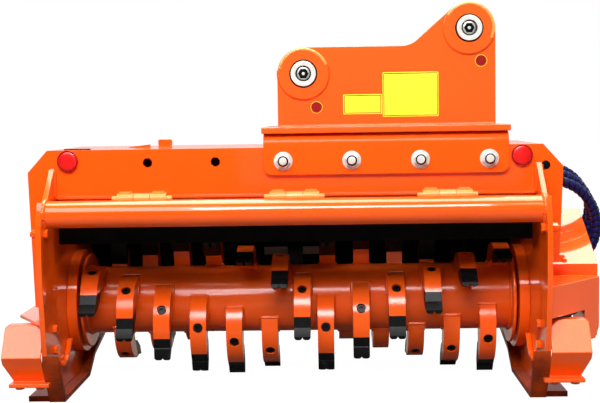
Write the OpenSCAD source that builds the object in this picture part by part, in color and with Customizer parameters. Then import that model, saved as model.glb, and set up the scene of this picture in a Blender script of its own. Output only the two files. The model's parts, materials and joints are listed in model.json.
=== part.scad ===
// Forestry mulching head for an excavator arm.
// X runs along the rotor, +Y to the rear, +Z up. The front edges of the side
// plates, the middle of the cutting chamber and the floor set the working frame,
// and at_origin() moves it to the bottom centre of the whole head.

/* [Chamber] */
// Clear width between the side plates
chamber_w = 1132; // [1040:4:1300]
// Depth of the side plates from front edge to rear edge
chamber_d = 560; // [556:2:640]
// Thickness of the side plates
side_t = 12; // [8:1:16]
// Height of the side plates' front edge
side_front_z = 471; // [455:1:480]
// Length of the level edge on top of the side plates' front corner
side_top_y = 44; // [20:1:60]
// How far the side plates' front edge stands forward below the push bar
side_bulge = 22; // [0:1:30]
// Upper end of the part that stands forward
side_bulge_z = 412; // [400:1:430]
// Lower end of the part that stands forward
side_waist_z = 285; // [220:1:330]
// Height where the sloping front edge meets the front panel
side_shoulder_z = 542; // [520:1:560]
// Height of the lower rear corner of the side plates
side_heel_z = 150; // [110:5:180]
// Height of the upper rear corner of the side plates
side_rear_z = 400; // [330:5:450]

/* [Rotor] */
// Rotor axis behind the side plates' front edge
axis_y = 327; // [318:1:335]
// Rotor axis above the floor
axis_z = 196; // [192:1:215]
// Outside diameter of the rotor tube
tube_d = 168; // [152:1:178]
// Wall of the rotor tube
tube_wall = 16; // [8:1:25]
// Radius of the circle that the tooth tips cut
tip_r = 189; // [184:0.5:191]
// Width of one tooth and of its holder
tooth_w = 40; // [30:1:46]
// Distance between neighbouring teeth of one spiral
tooth_pitch = 86.5; // [72:0.5:90]
// Turn between neighbouring teeth of one spiral
tooth_turn = 20; // [10:1:25]
// Teeth in each spiral
tooth_count = 6; // [3:1:6]
// Outside radius of the holder's crown
holder_r = 170; // [158:1:172]
// Diameter of the socket screw's counterbore
screw_d = 24; // [18:1:28]
// Thickness of the end discs
disc_t = 8; // [6:1:12]
// Diameter of the end discs
disc_d = 236; // [200:2:250]
// Diameter of the shaft stubs
shaft_d = 70; // [50:1:90]
// Running clearance between the end disc and the fixed ring
disc_gap = 5; // [5:0.5:8]

/* [Bearings and motor] */
// Diameter of the fixed anti-wrap rings
ring_d = 260; // [240:2:280]
// Bore of the fixed anti-wrap rings
ring_bore = 200; // [160:2:220]
// Thickness of the fixed anti-wrap rings
ring_t = 25; // [12:1:28]
// Diameter of the bearing flange
bearing_d = 180; // [160:2:200]
// Thickness of the bearing flange
bearing_t = 18; // [14:1:24]
// Diameter of the bearing spigot in the side plate
spigot_d = 140; // [110:2:150]
// Diameter of the hydraulic motor
motor_d = 130; // [110:2:150]
// Length of the hydraulic motor outside the bearing flange
motor_l = 102; // [80:1:110]

/* [Beam] */
// Front face of the front panel behind the side plates' front edge
panel_y = 120; // [118:1:128]
// Thickness of the front panel
panel_t = 12; // [8:1:16]
// Lower edge of the front panel
panel_low = 470; // [465:1:478]
// Upper edge of the front panel
panel_top = 579; // [565:1:590]
// How far the front panel's wings stand outside the side plates
wing_w = 51; // [45:1:70]
// Lower end of the left wing
wing_low_left = 213; // [210:1:300]
// Lower end of the right wing
wing_low_right = 320; // [300:1:380]
// Depth of the beam from front face to rear face
beam_d = 335; // [325:1:345]
// Thickness of the beam's rear panel
rear_t = 12; // [8:1:16]
// Thickness of the beam's top plate
top_t = 6; // [4:1:10]
// Distance between the bolt holes of the front panel
hole_pitch = 160; // [140:1:165]
// Diameter of the bolt holes
hole_d = 22; // [20.5:0.5:26]
// Height of the row of bolt holes
hole_z = 553; // [540:1:556]

/* [Hood] */
// Inside radius of the hood about the rotor axis
hood_r = 214; // [210:1:218]
// Thickness of the hood sheet
hood_t = 8; // [5:1:10]
// Thickness of the wear liner
liner_t = 7.5; // [5:0.5:10]
// Angle of the hood's rear lower edge above the rotor axis
hood_low = -10; // [-14:1:10]
// Gap between the tooth tips and the counter blade
blade_gap = 9; // [6:0.5:12]
// Thickness of the counter blade
blade_t = 16; // [10:1:20]

/* [Push bar and flap] */
// Diameter of the push bar
bar_d = 62; // [48:1:64]
// Wall of the push bar
bar_wall = 6; // [3:0.5:10]
// Push bar axis behind the side plates' front edge
bar_y = 30; // [24:1:32]
// Push bar axis above the floor
bar_z = 441; // [436:1:448]
// Length of the front flap below its hinge
flap_len = 105; // [80:1:110]
// Thickness of the front flap
flap_t = 8; // [5:1:10]
// Distance of the outer hinges from the middle one
hinge_pitch = 357; // [300:1:420]
// Length of one hinge knuckle
knuckle_l = 38; // [25:1:45]
// Diameter of the hinge knuckles
knuckle_d = 25; // [22:1:27]
// Diameter of the hinge pins
hinge_pin_d = 14; // [10:1:16]

/* [Hitch] */
// Width of the bolt-on hitch along the beam
hitch_w = 572; // [560:2:600]
// Sheet thickness of the saddle
saddle_t = 12; // [8:1:15]
// Height of the saddle's top
saddle_top = 617; // [612:1:640]
// Height of the saddle flanges' lower edge
saddle_low = 521; // [490:1:525]
// Outside bend radius of the saddle
saddle_bend = 26; // [16:1:28]
// Thickness of the hitch base plate
base_t = 15; // [10:1:20]
// Clear gap between the two ears
ear_gap = 210; // [180:2:230]
// Thickness of one ear
ear_t = 25; // [16:1:30]
// Radius of the ears' round ends
ear_r = 62; // [50:1:68]
// Diameter of the hitch pins
pin_d = 60; // [45:1:65]
// Stick pin's distance left of the hitch's middle
stick_dx = 191; // [180:1:215]
// Link pin's distance right of the hitch's middle
link_dx = 200; // [180:1:215]
// Height of the stick pin
stick_z = 757; // [740:1:770]
// Height of the link pin
link_z = 858; // [840:1:880]

/* [Skids and noses] */
// Width of the skid runners
skid_w = 88; // [70:1:98]
// Thickness of the skid runners
skid_t = 12; // [8:1:14]
// Height of the skids' front end
skid_nose_z = 96; // [80:1:110]
// Start of the skids' flat sole
skid_chamfer = 54; // [45:1:90]
// End of the skids' flat sole
skid_flat_end = 320; // [290:1:350]
// Width of the nose boxes outside the side plates
nose_w = 90; // [75:1:100]
// Height of the nose boxes' top
nose_top = 187; // [175:1:198]
// Sheet thickness of the nose boxes
nose_t = 8; // [5:1:12]

/* [Motor guard] */
// Width of the motor guard outside the side plate
guard_w = 143; // [135:1:150]
// Sheet thickness of the motor guard
guard_t = 8; // [5:1:10]
// Height of the guard's ledge
ledge_z = 267; // [260:1:280]

/* [Hoses] */
// Outside diameter of the pressure and return hoses
hose_d = 26; // [20:1:26]
// Outside diameter of the drain hose
drain_d = 18; // [12:1:20]
// Length of the bulkhead fittings
fitting_l = 40; // [30:1:48]

/* [Hidden] */
$fn = 64;

paint = [1.0, 0.36, 0.06];
dark_paint = [0.85, 0.25, 0.04];
black_steel = [0.06, 0.06, 0.065];
zinc = [0.72, 0.73, 0.75];
lens_red = [0.85, 0.02, 0.02];
hose_navy = [0.04, 0.05, 0.16];
motor_black = [0.16, 0.16, 0.17];

seat_gap = 0.3;      // clearance of a round piece in its seat
running_gap = 0.05;  // radial clearance of a turning pin or shaft
safe_gap = 5;        // clearance of moving pieces

side_in = chamber_w / 2;
side_out = side_in + side_t;
panel_back = panel_y + panel_t;
beam_rear = panel_y + beam_d;
wing_out = side_out + wing_w;
wing_taper = 8;
wing_foot = wing_out - wing_taper;
wing_top = panel_top + top_t;
wing_chamfer_w = 47;
wing_chamfer_h = 52;

// Origin of the finished part in the working frame
nose_front = -16;
head_front = min(nose_front, -side_bulge);
nose_out = side_out + nose_w;
guard_out = side_out + guard_w;
centre_x = (guard_out - nose_out) / 2;
centre_y = (chamber_d + head_front) / 2;

// Hinge line of the front flap
hinge_y = panel_y - knuckle_d / 2 - safe_gap;
hinge_z = panel_low;
hinge_slots = [-1, 0, 1];
knuckle_gap = 1;
hinge_pin_out = 14;
hinge_pin_l = 3 * knuckle_l + 2 * hinge_pin_out;
flap_side_gap = 12;
flap_play = 0.5;
flap_top = knuckle_d / 2 + safe_gap + flap_play;

// Reflectors at the ends of the front panel, the hitch stands beside the right one
reflector_d = 48;
reflector_h = 8;
reflector_z = 560;
reflector_inset = 34;
reflector_x = side_in - reflector_inset;
hitch_gap = 7;
hitch_x = reflector_x - reflector_d / 2 - hitch_gap - hitch_w / 2;
hitch_left = hitch_x - hitch_w / 2;

// Row of bolt holes, counted from the left, with the hitch on its last four
spare_holes = [0, 1];
hitch_holes = [2, 3, 4, 5];
hitch_middle = (hitch_holes[0] + hitch_holes[3]) / 2;
function hole_x(i) = hitch_x + (i - hitch_middle) * hole_pitch;
bolt_d = 20;
bolt_head = 30;
bolt_head_h = 13;
washer_d = 44;
washer_t = 4;
nut_h = 16;
saddle_corner = 20;
base_over = 4;

// Hitch ears and pins, [X, Z]
beam_mid_y = panel_y + beam_d / 2;
base_top = saddle_top + base_t;
stick_at = [hitch_x - stick_dx, stick_z];
link_at = [hitch_x + link_dx, link_z];
ear_step_dx = 63;
ear_step_x = hitch_x + ear_step_dx;
ear_fillet = 60;
boss_t = 6;
pin_proud = 4;
pin_recess_d = 33;
pin_recess_h = 6;

// Sections of the skids, [Y, Z]
skid_rise = [392, 42];
skid_tail = [527, 71];
skid_inset = 38;

// Rotor lengths
tube_end = side_in - ring_t - disc_gap - disc_t;
tube_rim = 2;
first_tooth_x = tube_end - tooth_w / 2 - tube_rim;
screw_angle = -69;
nose_angle = -15.5;
nose_drop = 5;
heel_angle = -32;
crown_round = 99;
crown_angle = 1;
screw_depth = 12;
lobe_r = tooth_w / 4;

// Side view of a tooth: radii of its back, face, step and root, and how far they lie before or behind the tip
tooth_back_r = 171;
tooth_face_r = 176;
tooth_step_r = 150;
tooth_root_r = 120;
tooth_back = 23;
tooth_ledge = 4;
tooth_step = 10;
tooth_root = 26;
tooth_lead = 4;
tip_land = 3;
tip_ease = 0.4;
seat_share = 0.54;

// Spirals of teeth: [side, offset from the end of the tube, angle of the first tip below the front]
SPIRALS = [
    [-1, 1.5, 2.5], [-1, 61, 123], [-1, 32, -117],
    [1, 5, -37], [1, 39, 81.5], [1, 0, -155]
];
centre_tooth = [12, 23];

// Bolts through the side plates: [Y, Z, thread, across the flats]
SIDE_BOLTS = [
    [13, 399, 12, 19],
    [70, 169, 12, 19],
    [70, 120, 12, 19]
];
side_head_h = 9;
side_nut_h = 20;

// Bolts below the foot plates, [distance outside the side plate, Y]
FOOT_BOLTS = [[14, 30], [61, 30]];
foot_bolt_w = 19;
foot_bolt_h = 11;

// Motor guard: ends of its roof, front edges, depth of the ledge and lower corners of the cheek
guard_roof_y = 168;
guard_roof_z = 295;
guard_rear_y = 372;
guard_rear_z = 411;
guard_front_in = -8;
guard_front_out = 150;
guard_ledge_y = 230;
guard_low = 121;
cheek_chamfer = 28;
cheek_cut = 12;
cheek_toe = 15;
cheek_corner = 28;
cheek_back = 430;

// Hoses: [Y, height of the bulkhead, bend radius, straight tail, diameter]
HOSES = [
    [290, 488, 112, 40, hose_d],
    [325, 506, 106, 72, hose_d],
    [355, 522, 104, 110, drain_d]
];
hose_turn = 135;
hose_step = 15;
hose_sides = 12;
hose_lead = 16;
fitting_d = 34;
drain_fitting_d = 26;
fitting_ease = 2;
port_depth = 30;
port_wall = 4;

// Coupler nipples on the rear panel, left of the hitch
coupler_gap = 129;
coupler_pitch = 90;
coupler_count = 3;
function coupler_x(i) = hitch_left - coupler_gap - (coupler_count - 1 - i) * coupler_pitch;
coupler_z = 500;
coupler_hex = 46;
coupler_hex_h = 15;
coupler_d = 30;
coupler_l = 45;

function unit(v) = v / norm(v);
function left_of(v) = [-v[1], v[0]];
function polar(r, a) = r * [cos(a), sin(a)];
function mitre(a, b, c, t) =
    let (n1 = left_of(unit(b - a)), n2 = left_of(unit(c - b)), m = unit(n1 + n2))
    b + m * t / (m * n1);
function reversed(v) = [for (i = [len(v) - 1:-1:0]) v[i]];

// Sole and upper face of a skid runner, [Y, Z]
function skid_sole() =
    [[0, skid_nose_z], [skid_chamfer, 0], [skid_flat_end, 0], skid_rise, skid_tail];
function skid_upper() =
    let (s = skid_sole(), front = unit(s[1] - s[0]), tail = unit(s[4] - s[3]))
    [
        [0, skid_nose_z + skid_t / front[0]],
        mitre(s[0], s[1], s[2], skid_t),
        mitre(s[1], s[2], s[3], skid_t),
        mitre(s[2], s[3], s[4], skid_t),
        s[4] + left_of(tail) * skid_t
    ];

// The sloping ceiling is tangent to the hood's arc at this angle
hood_from = [panel_back - axis_y, panel_low - axis_z];
liner_inset = 20;
hood_tangent = atan2(hood_from[1], hood_from[0]) - acos(hood_r / norm(hood_from));
function ceiling_z(y, r) =
    axis_z + (r - cos(hood_tangent) * (y - axis_y)) / sin(hood_tangent);

module at_origin() translate([-centre_x, -centre_y, 0]) children();

// Extrudes a [Y, Z] outline along X, or an [X, Z] outline along Y
module along_x(x0, x1) translate([x0, 0, 0]) rotate([90, 0, 90]) linear_extrude(x1 - x0) children();
module along_y(y0, y1) translate([0, y1, 0]) rotate([90, 0, 0]) linear_extrude(y1 - y0) children();

module rod_x(x0, x1, d, y, z) translate([x0, y, z]) rotate([0, 90, 0]) cylinder(h = x1 - x0, d = d);
module rod_y(y0, y1, d, x, z) translate([x, y0, z]) rotate([-90, 0, 0]) cylinder(h = y1 - y0, d = d);
module hex_y(y0, y1, across, x, z)
    translate([x, y0, z]) rotate([-90, 0, 0]) cylinder(h = y1 - y0, d = across / cos(30), $fn = 6);
module hex_x(x0, x1, across, y, z)
    translate([x0, y, z]) rotate([0, 90, 0]) cylinder(h = x1 - x0, d = across / cos(30), $fn = 6);

module mirrored_left() mirror([1, 0, 0]) children();

// One side plate, drawn on the right
module side_plate() {
    difference() {
        along_x(side_in, side_out) polygon(concat(skid_upper(), [
            [chamber_d, side_heel_z],
            [chamber_d, side_rear_z],
            [beam_rear, panel_top],
            [panel_back, panel_top],
            [panel_back, panel_low],
            [panel_y, panel_low],
            [panel_y, side_shoulder_z],
            [side_top_y, side_front_z],
            [0, side_front_z],
            [-side_bulge, side_bulge_z],
            [-side_bulge, side_waist_z]
        ]));
        rod_x(side_in - 1, side_out + 1, spigot_d + 2 * seat_gap, axis_y, axis_z);
        for (b = SIDE_BOLTS) rod_x(side_in - 1, side_out + 1, b[2] + 2 * seat_gap, b[0], b[1]);
    }
}

module side_plate_left() color(paint) at_origin() mirrored_left() side_plate();
module side_plate_right() color(paint) at_origin() side_plate();

module front_panel() {
    color(paint) at_origin() difference() {
        along_y(panel_y, panel_back) polygon([
            [-wing_out + wing_chamfer_w, wing_top],
            [wing_out - wing_chamfer_w, wing_top],
            [wing_out, wing_top - wing_chamfer_h],
            [wing_foot, wing_low_right],
            [side_out, wing_low_right],
            [side_out, panel_low],
            [-side_out, panel_low],
            [-side_out, wing_low_left],
            [-wing_foot, wing_low_left],
            [-wing_out, wing_top - wing_chamfer_h]
        ]);
        for (i = concat(spare_holes, hitch_holes))
            rod_y(panel_y - 1, panel_back + 1, hole_d, hole_x(i), hole_z);
    }
}

module top_plate() {
    color(paint) at_origin()
        translate([-side_out, panel_back, panel_top]) cube([2 * side_out, beam_d - panel_t, top_t]);
}

module rear_panel() {
    color(paint) at_origin() difference() {
        along_x(-side_in, side_in) difference() {
            translate([beam_rear - rear_t, axis_z]) square([rear_t, panel_top - axis_z]);
            translate([axis_y, axis_z]) circle(hood_r + hood_t + seat_gap);
        }
        for (i = hitch_holes)
            rod_y(beam_rear - rear_t - 1, beam_rear + 1, hole_d, hole_x(i), hole_z);
    }
}

// Curved hood sheet with its sloping front ceiling
module hood_section(r, t, front_y) {
    reach = 2 * hood_r;
    translate([axis_y, axis_z]) intersection() {
        difference() {
            circle(r + t, $fn = 128);
            circle(r, $fn = 128);
        }
        polygon([
            [0, 0], polar(reach, hood_low), polar(reach, (hood_low + hood_tangent) / 2),
            polar(reach, hood_tangent)
        ]);
    }
    polygon([
        [axis_y, axis_z] + polar(r, hood_tangent),
        [axis_y, axis_z] + polar(r + t, hood_tangent),
        [front_y, ceiling_z(front_y, r + t)],
        [front_y, ceiling_z(front_y, r)]
    ]);
}

module hood_shell() {
    color(paint) at_origin() along_x(-side_in, side_in) hood_section(hood_r, hood_t, panel_back);
}

module hood_liner() {
    color(black_steel) at_origin() along_x(-side_in + seat_gap, side_in - seat_gap)
        hood_section(hood_r - seat_gap - liner_t, liner_t, panel_back + liner_inset);
}

module counter_blade() {
    color(black_steel) at_origin() along_x(-side_in, side_in)
        translate([axis_y, axis_z]) rotate(hood_low)
            translate([tip_r + blade_gap, -blade_t]) square([hood_r + hood_t - tip_r, blade_t]);
}

module push_bar() {
    color(paint) at_origin() difference() {
        rod_x(-side_in, side_in, bar_d, bar_y, bar_z);
        rod_x(-side_in - 1, side_in + 1, bar_d - 2 * bar_wall, bar_y, bar_z);
    }
}

// One knuckle of the flap hinge, i counts from -1 to 1 along the pin
module knuckle(x, i) {
    x0 = x + i * (knuckle_l + knuckle_gap) - knuckle_l / 2;
    rod_x(x0, x0 + knuckle_l, knuckle_d, hinge_y, hinge_z);
}

module hinge_bore(x) {
    l = 2 * knuckle_l;
    rod_x(x - l, x + l, hinge_pin_d + 2 * running_gap, hinge_y, hinge_z);
}

module hinge_brackets() {
    color(paint) at_origin()
        for (s = hinge_slots, i = [-1, 1]) {
            x = s * hinge_pitch;
            x0 = x + i * (knuckle_l + knuckle_gap) - knuckle_l / 2;
            difference() {
                union() {
                    knuckle(x, i);
                    translate([x0, hinge_y, hinge_z])
                        cube([knuckle_l, panel_y - hinge_y, knuckle_d / 2]);
                }
                hinge_bore(x);
            }
        }
}

module hinge_pins() {
    color(dark_paint) at_origin()
        for (s = hinge_slots)
            rod_x(s * hinge_pitch - hinge_pin_l / 2, s * hinge_pitch + hinge_pin_l / 2,
                hinge_pin_d, hinge_y, hinge_z);
}

module front_flap() {
    flap_x = side_in - flap_side_gap;
    color(black_steel) at_origin() difference() {
        union() {
            translate([-flap_x, hinge_y - flap_t / 2, hinge_z - flap_len])
                cube([2 * flap_x, flap_t, flap_len - flap_top]);
            for (s = hinge_slots) {
                knuckle(s * hinge_pitch, 0);
                translate([s * hinge_pitch - knuckle_l / 2, hinge_y - flap_t / 2, hinge_z - flap_top - 1])
                    cube([knuckle_l, flap_t, flap_top + 1]);
            }
        }
        for (s = hinge_slots) hinge_bore(s * hinge_pitch);
    }
}

// Inverted channel over the beam, [Y, Z], with rounded bends
module saddle_section(y0, y1, top, bend) {
    translate([y0, saddle_low]) square([y1 - y0, top - bend - saddle_low]);
    translate([y0 + bend, saddle_low]) square([y1 - y0 - 2 * bend, top - saddle_low]);
    for (y = [y0 + bend, y1 - bend]) translate([y, top - bend]) circle(bend);
}

// Front view of the saddle, [X, Z], with rounded lower corners
module saddle_outline() {
    r = saddle_corner;
    x0 = hitch_left;
    translate([x0 + r, saddle_low]) square([hitch_w - 2 * r, saddle_top - saddle_low]);
    translate([x0, saddle_low + r]) square([hitch_w, saddle_top - saddle_low - r]);
    for (x = [x0 + r, x0 + hitch_w - r]) translate([x, saddle_low + r]) circle(r);
}

module hitch_saddle() {
    y0 = panel_y - saddle_t;
    y1 = beam_rear + saddle_t;
    color(paint) at_origin() difference() {
        intersection() {
            along_y(y0, y1) saddle_outline();
            along_x(hitch_x - hitch_w, hitch_x + hitch_w) difference() {
                saddle_section(y0, y1, saddle_top, saddle_bend);
                translate([0, -1])
                    saddle_section(panel_y, beam_rear, saddle_top - saddle_t + 1, saddle_bend - saddle_t);
            }
        }
        for (i = hitch_holes) rod_y(y0 - 1, y1 + 1, hole_d, hole_x(i), hole_z);
    }
}

module hitch_base() {
    color(paint) at_origin()
        translate([hitch_left - base_over, panel_y - saddle_t - base_over, saddle_top])
            cube([hitch_w + 2 * base_over, beam_d + 2 * (saddle_t + base_over), base_t]);
}

// Outline of an ear, [X, Z], with a step up to the link pin
module ear_outline() {
    step = [ear_step_x, stick_z + ear_r];
    to_step = step - link_at;
    tangent = atan2(to_step[1], to_step[0]) - acos(ear_r / norm(to_step));
    slope_end = link_at + polar(ear_r, tangent);
    slope = unit(slope_end - step);
    run = ear_fillet * tan(atan2(slope[1], slope[0]) / 2);
    fillet_mid = step + [-run, ear_fillet];
    polygon([
        [stick_at[0] - ear_r, base_top], [stick_at[0] - ear_r, stick_z], stick_at + [0, ear_r],
        step, slope_end, link_at, link_at + [ear_r, 0], [link_at[0] + ear_r, base_top]
    ]);
    for (p = [stick_at, link_at]) translate(p) circle(ear_r);
    difference() {
        polygon([step, step - [run, 0], fillet_mid, step + slope * run]);
        translate(fillet_mid) circle(ear_fillet);
    }
}

// An ear with its raised bosses on the outer face
module ear(y0, boss_y0) {
    difference() {
        union() {
            along_y(y0, y0 + ear_t) ear_outline();
            for (p = [stick_at, link_at])
                rod_y(boss_y0, boss_y0 + boss_t, 2 * ear_r - 4, p[0], p[1]);
        }
        for (p = [stick_at, link_at])
            rod_y(y0 - boss_t - 1, y0 + ear_t + boss_t + 1, pin_d + 2 * running_gap, p[0], p[1]);
    }
}

ear_front_y = beam_mid_y - ear_gap / 2 - ear_t;
ear_rear_y = beam_mid_y + ear_gap / 2;

module ear_front() color(paint) at_origin() ear(ear_front_y, ear_front_y - boss_t);
module ear_rear() color(paint) at_origin() ear(ear_rear_y, ear_rear_y + ear_t);

module hitch_pin(p) {
    y0 = ear_front_y - boss_t - pin_proud;
    y1 = ear_rear_y + ear_t + boss_t + pin_proud;
    difference() {
        rod_y(y0, y1, pin_d, p[0], p[1]);
        rod_y(y0 - 1, y0 + pin_recess_h, pin_recess_d, p[0], p[1]);
        rod_y(y1 - pin_recess_h, y1 + 1, pin_recess_d, p[0], p[1]);
    }
}

module stick_pin() color(zinc) at_origin() hitch_pin(stick_at);
module link_pin() color(zinc) at_origin() hitch_pin(link_at);

// A hitch bolt with washer and nut, drawn for the front flange
module hitch_bolt(x) {
    face = panel_y - saddle_t;
    hex_y(face - washer_t - bolt_head_h, face - washer_t, bolt_head, x, hole_z);
    rod_y(face - washer_t, face, washer_d, x, hole_z);
    rod_y(face - washer_t, panel_back + nut_h, bolt_d, x, hole_z);
    hex_y(panel_back, panel_back + nut_h, bolt_head, x, hole_z);
}

module hitch_bolts() {
    color(zinc) at_origin()
        for (i = hitch_holes) {
            hitch_bolt(hole_x(i));
            translate([0, 2 * beam_mid_y, 0]) mirror([0, 1, 0]) hitch_bolt(hole_x(i));
        }
}

// A skid runner, drawn on the right, cut away outside behind the nose box
module skid() {
    inner = side_out - skid_inset;
    difference() {
        along_x(inner, inner + skid_w) polygon(concat(skid_sole(), reversed(skid_upper())));
        translate([side_out, -1, -1]) cube([skid_w, skid_chamfer + 7, 200]);
    }
}

module skid_left() color(dark_paint) at_origin() mirrored_left() skid();
module skid_right() color(dark_paint) at_origin() skid();

// Side view of a nose box, [Y, Z]
nose_back = 60;
nose_bend_z = 119;
nose_low = 58;
nose_upper_y = 27;
nose_lower_y = 20;
nose_corner = 9;
nose_cut_w = 18;
nose_cut_h = 45;
foot_t = 9;
foot_front = -8;
foot_lip = 16;
foot_lip_d = 20;
foot_w = 76;
module nose_section(t) {
    polygon([
        [nose_back, nose_top - t], [nose_upper_y + 0.6 * t, nose_top - t],
        [nose_front + 1.1 * t, nose_bend_z], [nose_lower_y + 0.7 * t, nose_low + t],
        [nose_back, nose_low + t]
    ]);
}

// Front view of a nose box, [X, Z], with a rounded upper and a cut lower corner
module nose_outline() {
    polygon([
        [side_out, nose_low], [nose_out - nose_cut_w, nose_low], [nose_out, nose_low + nose_cut_h],
        [nose_out, nose_top - nose_corner], [nose_out - nose_corner, nose_top], [side_out, nose_top]
    ]);
    translate([nose_out - nose_corner, nose_top - nose_corner]) circle(nose_corner);
}

// A nose box with its foot plate, drawn on the right
module nose() {
    intersection() {
        difference() {
            along_x(side_out, nose_out) nose_section(0);
            along_x(side_out - 1, nose_out - nose_t) translate([1, 0]) nose_section(nose_t);
        }
        along_y(nose_front, nose_back) nose_outline();
    }
    translate([side_out, foot_front, nose_low - foot_t]) cube([foot_w, nose_back - foot_front, foot_t]);
    translate([side_out - foot_lip, foot_front, nose_low - foot_t]) cube([foot_lip + 1, foot_lip_d, foot_t]);
}

module nose_left() color(paint) at_origin() mirrored_left() nose();
module nose_right() color(paint) at_origin() nose();

// Shelf outside the left side plate, cut out around the bearing
shelf_z = nose_top + 1;
shelf_t = 8;
shelf_front_y = -4;
shelf_apex_y = 118;
shelf_back_y = 290;
shelf_out = nose_out - 10;
module shelf_left() {
    notch_y = axis_y - bearing_d / 2 - 10;
    notch_x = side_out + bearing_t + 30;
    color(paint) at_origin() mirrored_left() translate([0, 0, shelf_z]) linear_extrude(shelf_t)
        polygon([
            [side_out, shelf_front_y], [shelf_out, shelf_apex_y], [shelf_out, shelf_back_y],
            [notch_x, shelf_back_y], [notch_x, notch_y], [side_out, notch_y]
        ]);
}

// Bolts of one side, drawn on the right
module bolts_of_side() {
    for (b = SIDE_BOLTS) {
        hex_x(side_in - side_head_h, side_in, b[3], b[0], b[1]);
        rod_x(side_in - 1, side_out + side_nut_h, b[2], b[0], b[1]);
        hex_x(side_out, side_out + side_nut_h - 4, b[3], b[0], b[1]);
    }
    for (b = FOOT_BOLTS)
        translate([side_out + b[0], b[1], nose_low - foot_t - foot_bolt_h])
            cylinder(h = foot_bolt_h, d = foot_bolt_w / cos(30), $fn = 6);
}

module side_bolts() {
    color(paint) at_origin() {
        bolts_of_side();
        mirrored_left() bolts_of_side();
    }
}

// Leaning lugs with feet on the inner faces of the side plates
lug_y = 138;
lug_z = 70;
lug_h = 52;
lug_lean = 58;
lug_out = 12;
lug_t = 12;
lug_foot = 38;
module side_lug() {
    along_x(side_in - lug_out, side_in) translate([lug_y, lug_z]) {
        polygon([[0, 0], [lug_t, 0], [lug_t + lug_lean, lug_h], [lug_lean, lug_h]]);
        translate([(lug_t - lug_foot) / 2, 0]) square([lug_foot, lug_t]);
    }
}

module side_lugs() {
    color(paint) at_origin() {
        side_lug();
        mirrored_left() side_lug();
    }
}

module wrap_ring() {
    difference() {
        rod_x(side_in - ring_t, side_in, ring_d, axis_y, axis_z);
        rod_x(side_in - ring_t - 1, side_in + 1, ring_bore, axis_y, axis_z);
    }
}

module wrap_ring_left() color(paint) at_origin() mirrored_left() wrap_ring();
module wrap_ring_right() color(paint) at_origin() wrap_ring();

cap_h = 25;
cap_step = 20;
spigot_in = 4;
shaft_short = 4;
bearing_in = side_in - spigot_in;
bearing_face = side_out + bearing_t;
shaft_end = bearing_face - shaft_short;

// Flanged bearing housing outside a side plate
module bearing(cap) {
    difference() {
        union() {
            rod_x(side_out, bearing_face, bearing_d, axis_y, axis_z);
            rod_x(bearing_in, side_out, spigot_d, axis_y, axis_z);
            if (cap > 0) rod_x(bearing_face, bearing_face + cap, spigot_d - cap_step, axis_y, axis_z);
        }
        rod_x(bearing_in - 1, shaft_end + 2, shaft_d + 2 * running_gap, axis_y, axis_z);
        if (cap == 0) rod_x(shaft_end, bearing_face + 1, shaft_d + 2 * running_gap, axis_y, axis_z);
    }
}

module bearing_left() color(paint) at_origin() mirrored_left() bearing(cap_h);
module bearing_right() color(paint) at_origin() bearing(0);

// Runs children in a hose's own frame at the end of its straight tail
module hose_end(h) {
    bend_mid = [side_out + fitting_l + hose_lead, h[1] - h[2]];
    last = bend_mid + polar(h[2], 90 - hose_turn);
    translate([last[0], h[0], last[1]]) rotate([0, 90 + hose_turn, 0]) translate([0, 0, h[3]]) children();
}

module motor() {
    motor_end = bearing_face + motor_l;
    flange_t = 18;
    cover_t = 14;
    step = 24;
    color(motor_black) at_origin() {
        rod_x(bearing_face, bearing_face + flange_t, motor_d + step, axis_y, axis_z);
        rod_x(bearing_face, motor_end - cover_t, motor_d, axis_y, axis_z);
        rod_x(motor_end - cover_t, motor_end, motor_d - step, axis_y, axis_z);
        for (h = HOSES) hose_end(h) cylinder(h = port_depth, d = h[4] + 2 * port_wall);
    }
}

// Bent guard over the motor: roof, lip, ledge, slanting front and outer cheek
module motor_guard() {
    roof_front = [guard_roof_y, guard_roof_z];
    roof_back = [guard_rear_y, guard_rear_z];
    roof_down = left_of(unit(roof_back - roof_front)) * -guard_t;
    front_in = guard_front_in;
    front_out = guard_front_out;
    slant_t = guard_t * norm([guard_w, front_out - front_in]) / guard_w;
    nose_clear = 8;
    cheek_front = front_out + 6;
    color(paint) at_origin() {
        along_x(side_out, guard_out) {
            polygon([roof_front, roof_back, roof_back + roof_down, roof_front + roof_down]);
            translate([roof_front[0], ledge_z]) square([guard_t, roof_front[1] - ledge_z]);
        }
        translate([0, 0, ledge_z - guard_t]) linear_extrude(guard_t)
            polygon([
                [side_out, front_in], [guard_out, front_out],
                [guard_out, guard_ledge_y], [side_out, guard_ledge_y]
            ]);
        difference() {
            translate([0, 0, guard_low]) linear_extrude(ledge_z - guard_low)
                polygon([
                    [side_out, front_in], [guard_out, front_out],
                    [guard_out, front_out + slant_t], [side_out, front_in + slant_t]
                ]);
            translate([side_out - 1, 2 * front_in, guard_low - 1])
                cube([nose_w + nose_clear, guard_ledge_y, nose_top + nose_clear - guard_low + 1]);
            along_y(front_in, guard_ledge_y)
                polygon([
                    [guard_out + 1, guard_low - 1], [guard_out + 1, guard_low + cheek_chamfer],
                    [guard_out - cheek_cut, guard_low - 1]
                ]);
        }
        along_x(guard_out - guard_t, guard_out) polygon([
            [cheek_front, guard_low + cheek_chamfer], [cheek_front + cheek_toe, guard_low],
            [cheek_back - cheek_corner, guard_low], [cheek_back, guard_low + cheek_corner],
            [cheek_back, ledge_z - cheek_corner], [cheek_back - cheek_corner, ledge_z - guard_t],
            [cheek_front, ledge_z - guard_t]
        ]);
    }
}

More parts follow.
